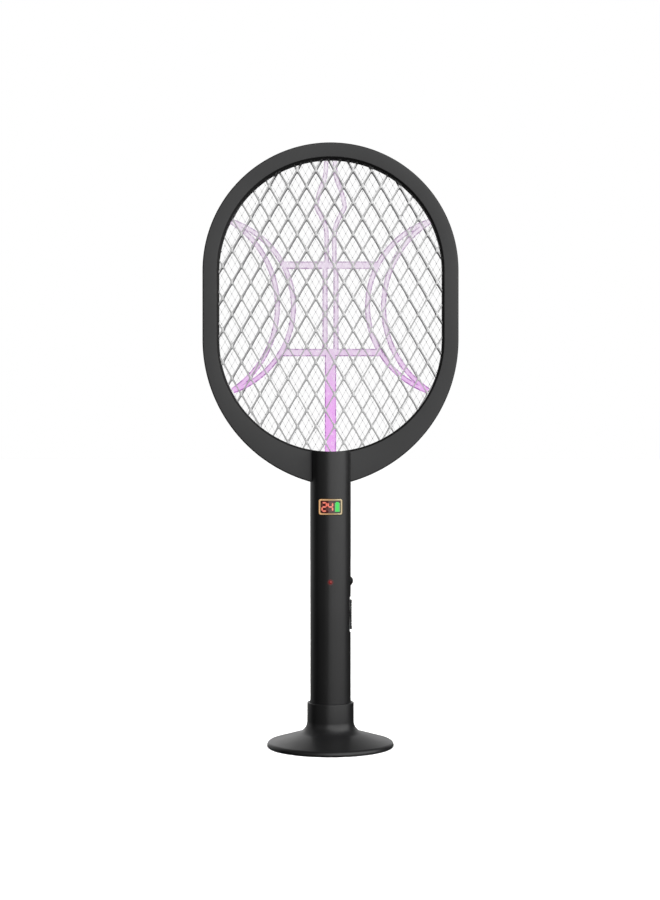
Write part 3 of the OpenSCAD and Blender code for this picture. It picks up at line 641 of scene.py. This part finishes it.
def add_rim_inside(piece, side):
    """Screw bosses inside the shell, and the tongue that the handle clamps."""
    bm = bmesh.new()
    foot = 0.03 * MM
    top = LIP_Y + 0.4 * MM
    steps = 28
    for x, z in screw_places():
        matrix = facing_y(x, z, side)
        if side > 0:
            tube(bm, POST_R, SCREW_HOLE_R, foot, RECESS_FLOOR, steps, matrix)
            tube(bm, POST_R, RECESS_R, RECESS_FLOOR, top, steps, matrix)
        else:
            tube(bm, POST_R, SCREW_HOLE_R, foot, top, steps, matrix)
    outer_x, outer_y = TONGUE_HALF_W, RIM_HALF - 0.3 * MM
    inner_x, inner_y = outer_x - TONGUE_WALL, outer_y - TONGUE_WALL
    tongue = [(-outer_x, JOINT_Y), (-outer_x, outer_y), (outer_x, outer_y), (outer_x, JOINT_Y),
              (inner_x, JOINT_Y), (inner_x, inner_y), (-inner_x, inner_y), (-inner_x, JOINT_Y)]
    tongue_top = LOWER_Z - OPENING_R - 4.5 * MM
    skin(bm, [[Vector((x, side * y, z)) for x, y in tongue] for z in (NECK_FOOT_Z, tongue_top)], caps=True)
    bmesh.ops.recalc_face_normals(bm, faces=bm.faces)
    bm.from_mesh(piece.data)
    bm.to_mesh(piece.data)
    bm.free()
    shade(piece.data)


def handle_grooves(side):
    """Solids of the shallow channels that the handle's edges sit over."""
    bm = bmesh.new()
    floor_y = side * (RIM_HALF - 0.9 * MM)
    clear_y = side * (RIM_HALF + 1 * MM)
    clear_z = LOWER_Z - OPENING_R + 8 * MM
    for low, high in ((-GROOVE_X[1], -GROOVE_X[0]), GROOVE_X):
        corners = [(low, floor_y), (high, floor_y), (high, clear_y), (low, clear_y)]
        skin(bm, [[Vector((x, y, z)) for x, y in corners] for z in (NECK_FOOT_Z, clear_z)], caps=True)
    return bm


def screw_recesses():
    """Solids of the rear rim's screw recesses, with a chamfered mouth."""
    bm = bmesh.new()
    mouth_y, clear_y, flare = 6.7 * MM, 7.3 * MM, 0.6 * MM
    profile = [(0, RECESS_FLOOR), (RECESS_R, RECESS_FLOOR), (RECESS_R, mouth_y), (RECESS_R + flare, clear_y),
               (0, clear_y)]
    for x, z in screw_places():
        lathe(bm, profile, 40, facing_y(x, z, 1))
    return bm


def add_frame():
    """The rim's front and rear shells."""
    front = new_piece("front_rim", rim_shell(-1), "swatter", "frame_black", "front_frame")
    cut(front, handle_grooves(-1))
    add_rim_inside(front, -1)
    rear = new_piece("rear_rim", rim_shell(1), "swatter", "frame_black", "rear_frame")
    cut(rear, screw_recesses())
    add_rim_inside(rear, 1)


def screw(bm, matrix, seat, head_h, shank_l):
    """A pan-head screw along the matrix's Z axis, head up, with a cross recess."""
    steps = 48
    head_r = 2.3 * MM
    shank_r = 1.2 * MM
    arm_w = 0.36 * MM
    arm_l = 1.35 * MM
    recess = 0.85 * MM
    tip = seat - shank_l
    rings = []
    for r, z in ((0.3 * MM, tip), (0.9 * MM, tip + 0.6 * MM), (shank_r, tip + 1.2 * MM), (shank_r, seat),
                 (head_r, seat), (head_r, seat + 0.5 * head_h)):
        rings.append([(r, z)] * steps)
    crown_steps = 20
    for k in range(crown_steps - 1):
        r = head_r * (1 - (k + 0.7) / crown_steps)
        crown = seat + head_h * (1 - 0.5 * (r / head_r) ** 3)
        ring = []
        for a in turns(steps):
            x = abs(r * math.cos(a))
            y = abs(r * math.sin(a))
            inside = (x < arm_w and y < arm_l) or (y < arm_w and x < arm_l)
            ring.append((r, crown - (recess * (1 - 0.4 * r / arm_l) if inside else 0)))
        rings.append(ring)
    skin(bm, [[matrix @ Vector((r * math.cos(a), r * math.sin(a), z))
               for a, (r, z) in zip(turns(steps), ring)] for ring in rings], caps=True)


def add_screws():
    """The rim's, the handle's and the base's screws."""
    frame_bm = bmesh.new()
    for x, z in screw_places():
        screw(frame_bm, facing_y(x, z, 1), seat=RECESS_FLOOR, head_h=1.5 * MM, shank_l=8.2 * MM)
    new_piece("rim_screws", frame_bm, "swatter", "screw_steel", "frame_screws")
    handle_bm = bmesh.new()
    for z in HANDLE_SCREW_Z:
        screw(handle_bm, facing_y(0, z, 1), seat=9 * MM, head_h=1.5 * MM, shank_l=19.5 * MM)
    new_piece("handle_long_screws", handle_bm, "swatter", "screw_steel", "handle_screws")
    stand_bm = bmesh.new()
    for a in BASE_SCREW_ANGLES:
        place = Matrix.Rotation(math.radians(a), 4, "Z") @ Matrix.Translation((BASE_SCREW_RING, 0, 0))
        upside_down = place @ Matrix.Rotation(math.pi, 4, "X")
        screw(stand_bm, upside_down, seat=-2.05 * MM, head_h=1 * MM, shank_l=4.4 * MM)
    new_piece("base_screws", stand_bm, "stand", "screw_steel", "stand_screws")


# --- grilles, net and light guide ---
STRAND_W = 1.2 * MM
STRAND_T = 0.42 * MM
SHORTEST_STRAND = 1 * MM
BOND_W = 2.5 * MM
BOND_H = 4.6 * MM
BOND_PROFILE = ((0.4, 0.33 * MM), (0.85, 0.28 * MM), (1, 0.17 * MM))  # share of the width, and depth there


def clip_to(limit, a, b):
    """The part of the segment a-b inside the opening grown to a limit, or nothing."""
    inside_a = from_opening(*a) < limit
    inside_b = from_opening(*b) < limit
    if not inside_a and not inside_b:
        return None
    if inside_a and inside_b:
        return a, b
    good, bad = (a, b) if inside_a else (b, a)
    for _ in range(24):
        middle = ((good[0] + bad[0]) / 2, (good[1] + bad[1]) / 2)
        if from_opening(*middle) < limit:
            good = middle
        else:
            bad = middle
    return (a, good) if inside_a else (good, b)


def lattice(start, step, limit):
    """Crossings of a diamond lattice, and the upward strands between them, clipped to a limit."""
    columns = int(limit / step[0]) + 2
    rows = int(1.5 * limit / step[1]) + 3
    nodes = []
    strands = []
    for i in range(-columns, columns + 1):
        for j in range(-rows, rows + 1):
            for k in (0, 1):
                node = (start[0] + step[0] * (i + k / 2), start[1] + step[1] * (j + k / 2))
                if from_opening(*node) < limit:
                    nodes.append(node)
                for s in (-1, 1):
                    strand = clip_to(limit, node, (node[0] + s * step[0] / 2, node[1] + step[1] / 2))
                    if strand:
                        strands.append(strand)
    return nodes, strands


def strand_ribbon(bm, a, b, y):
    """A strand of slit and stretched sheet, a little wider where it leaves its bonds."""
    along = Vector((b[0] - a[0], 0, b[1] - a[1]))
    if along.length < SHORTEST_STRAND:
        return
    front = Vector((0, -1, 0))
    up = front.cross(along.normalized())
    if up.z < 0:
        up = -up
    section = ((1, 0.5), (0.8, 1), (-0.8, 1), (-1, 0.5), (-1, -0.5), (-0.8, -1), (0.8, -1), (1, -0.5))
    stations = 8
    widening = 0.22
    rings = []
    for k in range(stations + 1):
        t = k / stations
        half = STRAND_W / 2 * (1 + widening * math.cos(2 * math.pi * t))
        centre = Vector((a[0], y, a[1])) + along * t
        rings.append([centre + up * half * w + front * STRAND_T / 2 * d for w, d in section])
    skin(bm, rings, caps=True)


def bond(bm, node, y):
    """The lozenge where two strands stay joined, crowned by the press on both sides."""
    power = 1.25  # 1 gives a diamond, 2 an ellipse
    outline = []
    for a in turns(16):
        c, s = math.cos(a), math.sin(a)
        spread = (abs(c) ** power + abs(s) ** power) ** (-1 / power)
        outline.append((BOND_W / 2 * c * spread, BOND_H / 2 * s * spread))
    levels = BOND_PROFILE + tuple((scale, -depth) for scale, depth in reversed(BOND_PROFILE))
    skin(bm, [[Vector((node[0] + x * scale, y + depth, node[1] + z * scale)) for x, z in outline]
              for scale, depth in levels], caps=True)


def clamped_edge(bm, radius, width, half_t, y):
    """The flat edge of a grille or the net, hidden under the rim."""
    section = [(radius - width, -half_t), (radius, -half_t), (radius, half_t), (radius - width, half_t)]
    rings = []
    for inner, _, normal, _ in outline_stations():
        places = [inner + normal * (r - OPENING_R) for r, _ in section]
        rings.append([Vector((p.x, y + dy, p.y)) for p, (_, dy) in zip(places, section)])
    skin(bm, rings, closed_along=True)


def add_grilles():
    """The two outer grilles of slit and stretched sheet."""
    nodes, strands = lattice(LATTICE_START, (DIAMOND_W, DIAMOND_H), GRILLE_R - 0.8 * MM)
    bond_limit = GRILLE_R - 2.6 * MM
    middle = (LIP_Y - GRILLE_IN_Y) / 2
    for name, y, replaced in (("front_mesh", -middle, "front_grille"), ("rear_mesh", middle, "rear_grille")):
        bm = bmesh.new()
        for a, b in strands:
            strand_ribbon(bm, a, b, y)
        for node in nodes:
            if from_opening(*node) < bond_limit:
                bond(bm, node, y)
        clamped_edge(bm, GRILLE_R, 1.6 * MM, 0.25 * MM, y)
        new_piece(name, bm, "swatter", "grille_metal", replaced)


NET_STEP = (5.77 * MM, 10.36 * MM)
NET_WIRE_R = 0.09 * MM
BEAD_R = 0.36 * MM
BEAD_END_R = 0.15 * MM
BEAD_Y = 0.3 * MM
BEAD_STRETCH = 1.3


def thin_wire(bm, a, b, y, r):
    """A square wire between two places in X and Z."""
    along = Vector((b[0] - a[0], 0, b[1] - a[1])).normalized()
    side = Vector((0, 1, 0)).cross(along) * r
    depth = Vector((0, r, 0))
    rings = [[Vector((p[0], y, p[1])) + offset for offset in (side, depth, -side, -depth)] for p in (a, b)]
    skin(bm, rings, caps=True)


def long_lines(start, step, limit, slope):
    """Whole straight lines of one diagonal family, clipped to the opening."""
    samples = 8  # tried places for each step of the lattice
    shortest = 3
    count = int(3 * limit / step[0]) + 4
    reach = samples // 2 * count
    for i in range(-count, count + 1):
        x = start[0] + step[0] * i
        places = [(x + slope * step[0] / samples * k, start[1] + step[1] / samples * k)
                  for k in range(-reach, reach + 1)]
        inside = [p for p in places if from_opening(*p) < limit]
        if len(inside) > shortest:
            yield inside[0], inside[-1]


def add_net():
    """The fine live net: two families of wires with a weld bead at each crossing."""
    bm = bmesh.new()
    limit = NET_R - 0.6 * MM
    start = (LATTICE_START[0] + 1.1 * MM, LATTICE_START[1] + 2.3 * MM)
    for slope in (-1, 1):
        for a, b in long_lines(start, NET_STEP, limit, slope):
            thin_wire(bm, a, b, slope * 0.5 * NET_WIRE_R, NET_WIRE_R)
    beads, _ = lattice(start, NET_STEP, OPENING_R - 0.5 * MM)
    for x, z in beads:
        skin(bm, [[Vector((x + r * math.cos(a), y, z + BEAD_STRETCH * r * math.sin(a))) for a in turns(6)]
                  for y, r in ((-BEAD_Y, BEAD_END_R), (0, BEAD_R), (BEAD_Y, BEAD_END_R))], caps=True)
    clamped_edge(bm, NET_R, 2.2 * MM, 0.08 * MM, 0)
    new_piece("fine_net", bm, "swatter", "net_wire", "hv_net")


BAR_HALF = 42 * MM
BAR_H = 6.4 * MM
LOWER_BAR_Z = LOWER_Z - 11 * MM
UPPER_BAR_Z = UPPER_Z + 4.8 * MM
UPRIGHT_X = 4.7 * MM
RIB_W = 4.4 * MM
STEM_W = 9.7 * MM
CRESCENT_Z = (LOWER_Z + UPPER_Z) / 2 - 1 * MM
CRESCENT_END = (OPENING_R - 10.2 * MM, 73.2 * MM)
CRESCENT_MIDDLES = (31.8 * MM, 45.6 * MM)
FLAME_W = 3.8 * MM
FLAME_SIDE = [(3.3, 0), (3.4, 25), (4.6, 34), (8.4, 42.5), (11.9, 49.5), (11.2, 56), (8.9, 64.5), (5.5, 73),
              (4, 82), (3.6, 95)]  # mm across, and above the upper bar


def smooth_path(points, steps):
    """A Catmull-Rom curve through the points."""
    padded = [points[0]] + points + [points[-1]]
    path = []
    for i in range(1, len(padded) - 2):
        p0, p1, p2, p3 = (Vector(p) for p in padded[i - 1:i + 3])
        for k in range(steps):
            t = k / steps
            path.append(0.5 * (2 * p1 + (p2 - p0) * t + (2 * p0 - 5 * p1 + 4 * p2 - p3) * t * t
                               + (3 * p1 - p0 - 3 * p2 + p3) * t ** 3))
    return path + [Vector(points[-1])]


def rib(path, width):
    """A mesh of a flat rib with chamfered edges, swept along a path in X and Z."""
    middle = (GUIDE_HIGH.y + GUIDE_LOW.y) / 2
    half_d = (GUIDE_HIGH.y - GUIDE_LOW.y) / 2
    half_w = width / 2
    chamfer = min(1 * MM, 0.24 * width)
    section = [(half_w, half_d - chamfer), (half_w - chamfer, half_d), (chamfer - half_w, half_d),
               (-half_w, half_d - chamfer), (-half_w, chamfer - half_d), (chamfer - half_w, -half_d),
               (half_w - chamfer, -half_d), (half_w, chamfer - half_d)]
    path = [Vector(p) for p in path]
    rings = []
    for i, p in enumerate(path):
        along = (path[min(i + 1, len(path) - 1)] - path[max(i - 1, 0)]).normalized()
        side = Vector((along.y, -along.x))
        rings.append([Vector((p.x + side.x * u, middle + v, p.y + side.y * u)) for u, v in section])
    bm = bmesh.new()
    skin(bm, rings, caps=True)
    return mesh_from("rib", bm)


def crescent_path(middle_x, side):
    """An arc that bulges inwards, as far as the opening's edge."""
    rise = CRESCENT_END[0] - middle_x
    r = (rise ** 2 + CRESCENT_END[1] ** 2) / (2 * rise)
    limit = OPENING_R - 0.3 * MM
    points = arc_points(middle_x + r, CRESCENT_Z, r, 90, 270, 180)
    return [(side * x, z) for x, z in points if x < OPENING_R and from_opening(x, z) < limit]


def add_light_guide():
    """The stem, two bars, two uprights, the flame above them and two crescents on each side, joined."""
    top = UPPER_Z + OPENING_R - 0.4 * MM
    ribs = [rib([(0, GUIDE_LOW.z), (0, LOWER_BAR_Z + BAR_H / 2)], STEM_W)]
    for z in (LOWER_BAR_Z, UPPER_BAR_Z):
        ribs.append(rib([(-BAR_HALF, z), (BAR_HALF, z)], BAR_H))
    for side in (-1, 1):
        ribs.append(rib([(side * UPRIGHT_X, LOWER_BAR_Z), (side * UPRIGHT_X, UPPER_BAR_Z)], RIB_W))
        flame = smooth_path([(side * x * MM, UPPER_BAR_Z + z * MM) for x, z in FLAME_SIDE], 6)
        ribs.append(rib([p for p in flame if p.y < top], FLAME_W))
        for middle_x in CRESCENT_MIDDLES:
            ribs.append(rib(crescent_path(middle_x, side), RIB_W))
    bm = bmesh.new()
    bm.from_mesh(ribs[0])
    guide = new_piece("violet_light_guide", bm, "swatter", "light_guide", "light_guide")
    for mesh in ribs[1:]:
        combine(guide, mesh, "UNION")
    shade(guide.data)


# --- display, lamp and switches ---
def wrap(u, w, r):
    """A place on the handle's front: across, height and distance from the axis."""
    a = u / HANDLE_R
    return Vector((r * math.sin(a), -r * math.cos(a), w))


def add_bezel():
    """A rounded bar that runs round the display window and follows the handle's curve."""
    width = BEZEL_HIGH.x - BEZEL_LOW.x
    height = BEZEL_HIGH.z - BEZEL_LOW.z
    line = 1.3 * MM
    gap = 0.4 * MM
    flat_w = 2 * HANDLE_R * math.asin(min(1, width / 2 / HANDLE_R))
    middle_z = (BEZEL_LOW.z + BEZEL_HIGH.z) / 2
    proud = -BEZEL_LOW.y - HANDLE_R
    foot = -1.6 * MM
    shoulder = proud - 0.25 * MM
    crown = proud - 0.06 * MM
    path = round_rectangle(flat_w - line - 2 * gap, height - line - 2 * gap, 1.1 * MM, 8)
    n = len(path)
    section = [(-line / 2, foot), (-line / 2, shoulder), (-0.3 * line, crown), (0, proud),
               (0.3 * line, crown), (line / 2, shoulder), (line / 2, foot)]
    rings = []
    for i in range(n):
        before, after = Vector(path[i - 1]), Vector(path[(i + 1) % n])
        along = (after - before).normalized()
        side = Vector((along.y, -along.x))
        x, z = Vector(path[i])
        rings.append([wrap(x + side.x * u, middle_z + z + side.y * u, HANDLE_R + v) for u, v in section])
    bm = bmesh.new()
    skin(bm, rings, closed_along=True)
    new_piece("display_frame", bm, "swatter", "bezel_gold", "display_bezel", 50)


def add_lamp():
    """The indicator lamp's lens, flange and legs."""
    r = 1.5 * MM
    flange_r = 1.9 * MM
    front = -LAMP_LOW.y
    back = front - 6 * MM
    leg_x = 1.27 * MM
    bm = bmesh.new()
    profile = [(0, back), (flange_r, back), (flange_r, back + 1 * MM), (r, back + 1.1 * MM)]
    profile += arc_points(0, front - r, r, 0, 80, 8)
    profile += [(0, front)]
    lathe(bm, profile, 40, facing_y(0, LAMP_Z, -1))
    leg = round_rectangle(0.5 * MM, 0.5 * MM, 0.08 * MM, 2)
    for x in (-leg_x, leg_x):
        skin(bm, [[Vector((x + u, y, LAMP_Z + w)) for u, w in leg] for y in (-back, LAMP_HIGH.y)], caps=True)
    new_piece("indicator_lamp", bm, "swatter", "led_red", "indicator_led", 40)


def add_button():
    """The zap button: a dome with a finger dish ring, a flange and a stem."""
    turn = Matrix.Translation((0, 0, BUTTON_Z)) @ Matrix.Rotation(math.radians(90), 4, "Y")
    foot = BUTTON_LOW.x
    tip = BUTTON_HIGH.x
    r = 4.2 * MM
    rise = 2.4 * MM
    dome_r = (r * r + rise * rise) / (2 * rise)
    stem_r = 1.5 * MM
    flange_r = (BUTTON_HIGH.y - BUTTON_LOW.y) / 2
    flange_back = foot + 1.1 * MM
    flange_front = foot + 2.9 * MM
    soft = 0.2 * MM
    profile = [(0, foot), (stem_r, foot), (stem_r, flange_back), (flange_r, flange_back),
               (flange_r, flange_front - soft), (flange_r - soft, flange_front), (r, flange_front)]
    steps = 25
    shoulder_steps = 3
    shoulder = 0.175 * MM
    groove_r, groove_w, groove_depth = 2.9 * MM, 0.22 * MM, 0.14 * MM
    for k in range(steps):
        radius = r * (1 - k / steps)
        height = tip - dome_r + math.sqrt(dome_r ** 2 - radius ** 2)
        if k < shoulder_steps:
            height -= shoulder * (1 - k / shoulder_steps) ** 2
        groove = math.exp(-((radius - groove_r) / groove_w) ** 2)
        profile.append((radius, height - groove_depth * groove))
    profile.append((0, tip))
    bm = bmesh.new()
    lathe(bm, profile, 64, turn)
    new_piece("zap_button_cap", bm, "zap_button", "control_black", "zap_button")


def add_slider():
    """The power slider's knob: a crowned ribbed pad on a foot that reaches the switch."""
    low, high = SLIDER_LOW, SLIDER_HIGH
    middle_z = (low.z + high.z) / 2
    half_l = (high.z - low.z) / 2
    half_w = (high.y - low.y) / 2
    base_x = HANDLE_R - 0.65 * MM
    valley_x = HANDLE_R + 0.35 * MM
    pitch = 2.3 * MM
    end_land = 1.1 * MM
    end_round = 0.7 * MM
    crown = 0.35 * MM
    edge_drop = 0.4 * MM
    least = 0.05 * MM
    rows = 140
    columns = 14
    bm = bmesh.new()
    rings = []
    for i in range(rows + 1):
        w = -half_l + 2 * half_l * i / rows
        wave = 0.5 + 0.5 * math.cos(2 * math.pi * (w / pitch - 0.5))
        ridge = min(1, max(0, (wave - 0.25) / 0.5))
        ridge = ridge * ridge * (3 - 2 * ridge)
        end = min(1, (half_l - abs(w)) / end_round)
        lift = valley_x + (high.x - valley_x) * (1 if abs(w) > half_l - end_land else ridge)
        top = base_x + (lift - base_x) * math.sqrt(max(0.02, 1 - (1 - end) ** 2))
        ring = [Vector((base_x, -half_w, middle_z + w))]
        for j in range(columns + 1):
            v = -1 + 2 * j / columns
            x = top - crown * abs(v) ** 3 - edge_drop * (abs(v) == 1)
            ring.append(Vector((max(x, base_x + least), half_w * v, middle_z + w)))
        ring.append(Vector((base_x, half_w, middle_z + w)))
        rings.append(ring)
    skin(bm, rings, caps=True)
    stem = (low.x, base_x + 0.1 * MM, 2.8 * MM, 6 * MM)
    flange = (12.8 * MM, 14.3 * MM, 8 * MM, 16 * MM)
    for back, front, width, height in (stem, flange):
        outline = round_rectangle(width, height, 0.5 * MM, 4)
        skin(bm, [[Vector((x, u, middle_z + v)) for u, v in outline] for x in (back, front)], caps=True)
    new_piece("power_slider_knob", bm, "power_slider", "control_black", "slider_knob", 35)


# --- stand ---
BASE_HOLLOW = [(50.2, 0.3), (50.2, 1), (44.2, 1), (44.2, 2.9), (38.3, 5), (30.5, 7.4), (0, 7.4)]  # mm: r, z


def add_stand():
    """The weighted base: a collar that flares into a domed skirt, turned in one profile."""
    collar_r = 20.1 * MM
    round_r = 0.8 * MM
    socket_r = HANDLE_R + 0.35 * MM
    flare_r = 10.8 * MM
    flare_z = 21.9 * MM
    slope = math.radians(16.4)
    edge_r = 3 * MM
    foot_r = 0.5 * MM
    foot_z = BASE_HOLLOW[0][1] * MM
    socket_z = 9.5 * MM
    lead_in = 1 * MM
    flare_end = Vector((collar_r + flare_r - flare_r * math.sin(slope), flare_z - flare_r * math.cos(slope)))
    edge_x = BASE_R - edge_r * (1 - math.sin(slope))
    skirt_end = Vector((edge_x, flare_end.y - (edge_x - flare_end.x) * math.tan(slope)))
    edge_z = skirt_end.y - edge_r * math.cos(slope)
    profile = [(0, socket_z), (socket_r - lead_in, socket_z), (socket_r, socket_z + lead_in),
               (socket_r, COLLAR_TOP - lead_in), (socket_r + 0.6 * lead_in, COLLAR_TOP - 0.2 * lead_in),
               (socket_r + 0.8 * lead_in, COLLAR_TOP)]
    profile += arc_points(collar_r - round_r, COLLAR_TOP - round_r, round_r, 90, 0, 8)
    profile += arc_points(collar_r + flare_r, flare_z, flare_r, 180, 270 - math.degrees(slope), 28)
    profile += [tuple(flare_end.lerp(skirt_end, t)) for t in (0.03, 0.5, 0.97)]
    profile += arc_points(BASE_R - edge_r, edge_z, edge_r, 90 - math.degrees(slope), 0, 16)
    profile += arc_points(BASE_R - foot_r, foot_z + foot_r, foot_r, 0, -90, 5)
    profile += [(r * MM, z * MM) for r, z in BASE_HOLLOW]
    bm = bmesh.new()
    lathe(bm, profile, 160)
    new_piece("stand_body", bm, "stand", "stand_black", "stand_shell", 35)


def add_pad():
    """The non-slip pad, with rings moulded into its underside."""
    r, _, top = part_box("stand_pad")[1]
    upper, lower = 0.2 * MM, 0.25 * MM  # its chamfers
    rings, margin, pitch = 9, 3 * MM, 5 * MM
    mouth, bed, depth = 0.6 * MM, 0.3 * MM, 0.35 * MM  # a groove's half widths, and its depth
    profile = [(0, top), (r - upper, top), (r, top - upper), (r, lower), (r - lower, 0)]
    for k in range(rings):
        middle = r - margin - pitch * k
        profile += [(middle + mouth, 0), (middle + bed, depth), (middle - bed, depth), (middle - mouth, 0)]
    profile.append((0, 0))
    bm = bmesh.new()
    lathe(bm, profile, 128)
    new_piece("non_slip_pad", bm, "stand", "pad_rubber", "stand_pad")


# --- carried-over CAD nodes ---
def dress_nodes():
    """Gives each CAD node the material of its slot."""
    for part in frame["record"]["subparts"]:
        node = frame["nodes"][part["node"]]
        for slot in node.material_slots:
            slot.material = MATERIALS[part["material_slot"]]


# --- floor and light ---
def softbox(name, place, aim, width, height, radiance):
    """A large even light panel that the camera doesn't see."""
    data = bpy.data.lights.new(name, "AREA")
    data.shape = "RECTANGLE"
    data.size = width
    data.size_y = height
    data.energy = radiance * width * height * math.pi
    lamp = add_object(name, data)
    lamp.location = place
    lamp.rotation_euler = (Vector(aim) - Vector(place)).to_track_quat("-Z", "Y").to_euler()
    lamp.visible_camera = False
    return lamp


def around(azimuth, distance, height):
    """A place round the object; azimuth 0 is in front, positive to the right."""
    a = math.radians(azimuth)
    return (distance * math.sin(a), -distance * math.cos(a), height)


def add_lights():
    """Panels round the object; the two matt ones light it without a reflection."""
    softbox("key", around(41, 1.8, 1.0), (0, 0, 0.75), 5.3, 2.4, 1.92)
    softbox("rim_left", around(-138, 2.0, 0.9), (0, 0, 0.7), 2.6, 2.4, 0.5)
    softbox("back_low", (0, 2.4, 0.45), (0, 0, 0.4), 2.2, 0.65, 0.4)
    softbox("back_high", (0.15, 2.4, 0.9), (0, 0, 0.4), 3.4, 1.5, 0.6)
    softbox("top", around(35, 0.9, 2.0), (0, 0, 0.2), 1.6, 1.2, 0.5)
    softbox("fill_left", around(-50, 2.2, 0.7), (0, 0, 0.3), 2.4, 1.8, 0.2)
    matt_front = softbox("matt_front", (0.6, -0.45, 0.7), (0.05, 0, 0.42), 0.5, 0.5, 6.0)
    matt_front.visible_glossy = False
    matt_rear = softbox("matt_rear", (-0.5, 1.0, 0.8), (0, 0, 0.3), 1.0, 1.0, 2.6)
    matt_rear.visible_glossy = False


FLOOR_SIZE = 40
FLOOR_DROP = 0.2 * MM
FLOOR_SUN = 3.55
FLOOR_SUN_SPREAD = 100  # degrees


def add_floor():
    """Plain white paper under the object, lit by a light of its own."""
    bm = bmesh.new()
    bmesh.ops.create_grid(bm, x_segments=1, y_segments=1, size=FLOOR_SIZE)
    mesh = bpy.data.meshes.new("floor")
    bm.to_mesh(mesh)
    bm.free()
    floor = add_object("floor", mesh)
    floor.location.z = -FLOOR_DROP
    s = Shader("floor_paper")
    s.set(Base_Color=(0.95, 0.95, 0.95), Roughness=0.9, Specular_IOR_Level=0.0)
    mesh.materials.append(s.material)
    floor.visible_glossy = False
    floor.visible_diffuse = False
    data = bpy.data.lights.new("floor_sun", "SUN")
    data.energy = FLOOR_SUN
    data.angle = math.radians(FLOOR_SUN_SPREAD)
    sun = add_object("floor_sun", data)
    floor_only = bpy.data.collections.new("floor_only")
    floor_only.objects.link(floor)
    sun.light_linking.receiver_collection = floor_only


def add_background():
    """A white surround that the camera sees, while the panels alone light the object."""
    world = bpy.data.worlds.new("world")
    bpy.context.scene.world = world
    world.use_nodes = True
    background = world.node_tree.nodes["Background"]
    background.inputs["Color"].default_value = (1, 1, 1, 1)
    background.inputs["Strength"].default_value = 1.0
    world.cycles_visibility.diffuse = False
    world.cycles_visibility.glossy = False
    bpy.context.scene.view_settings.view_transform = "Standard"


add_camera()
add_floor()
add_lights()
add_background()
dress_nodes()
add_frame()
add_screws()
add_grilles()
add_net()
add_light_guide()
add_bezel()
add_lamp()
add_button()
add_slider()
add_stand()
add_pad()
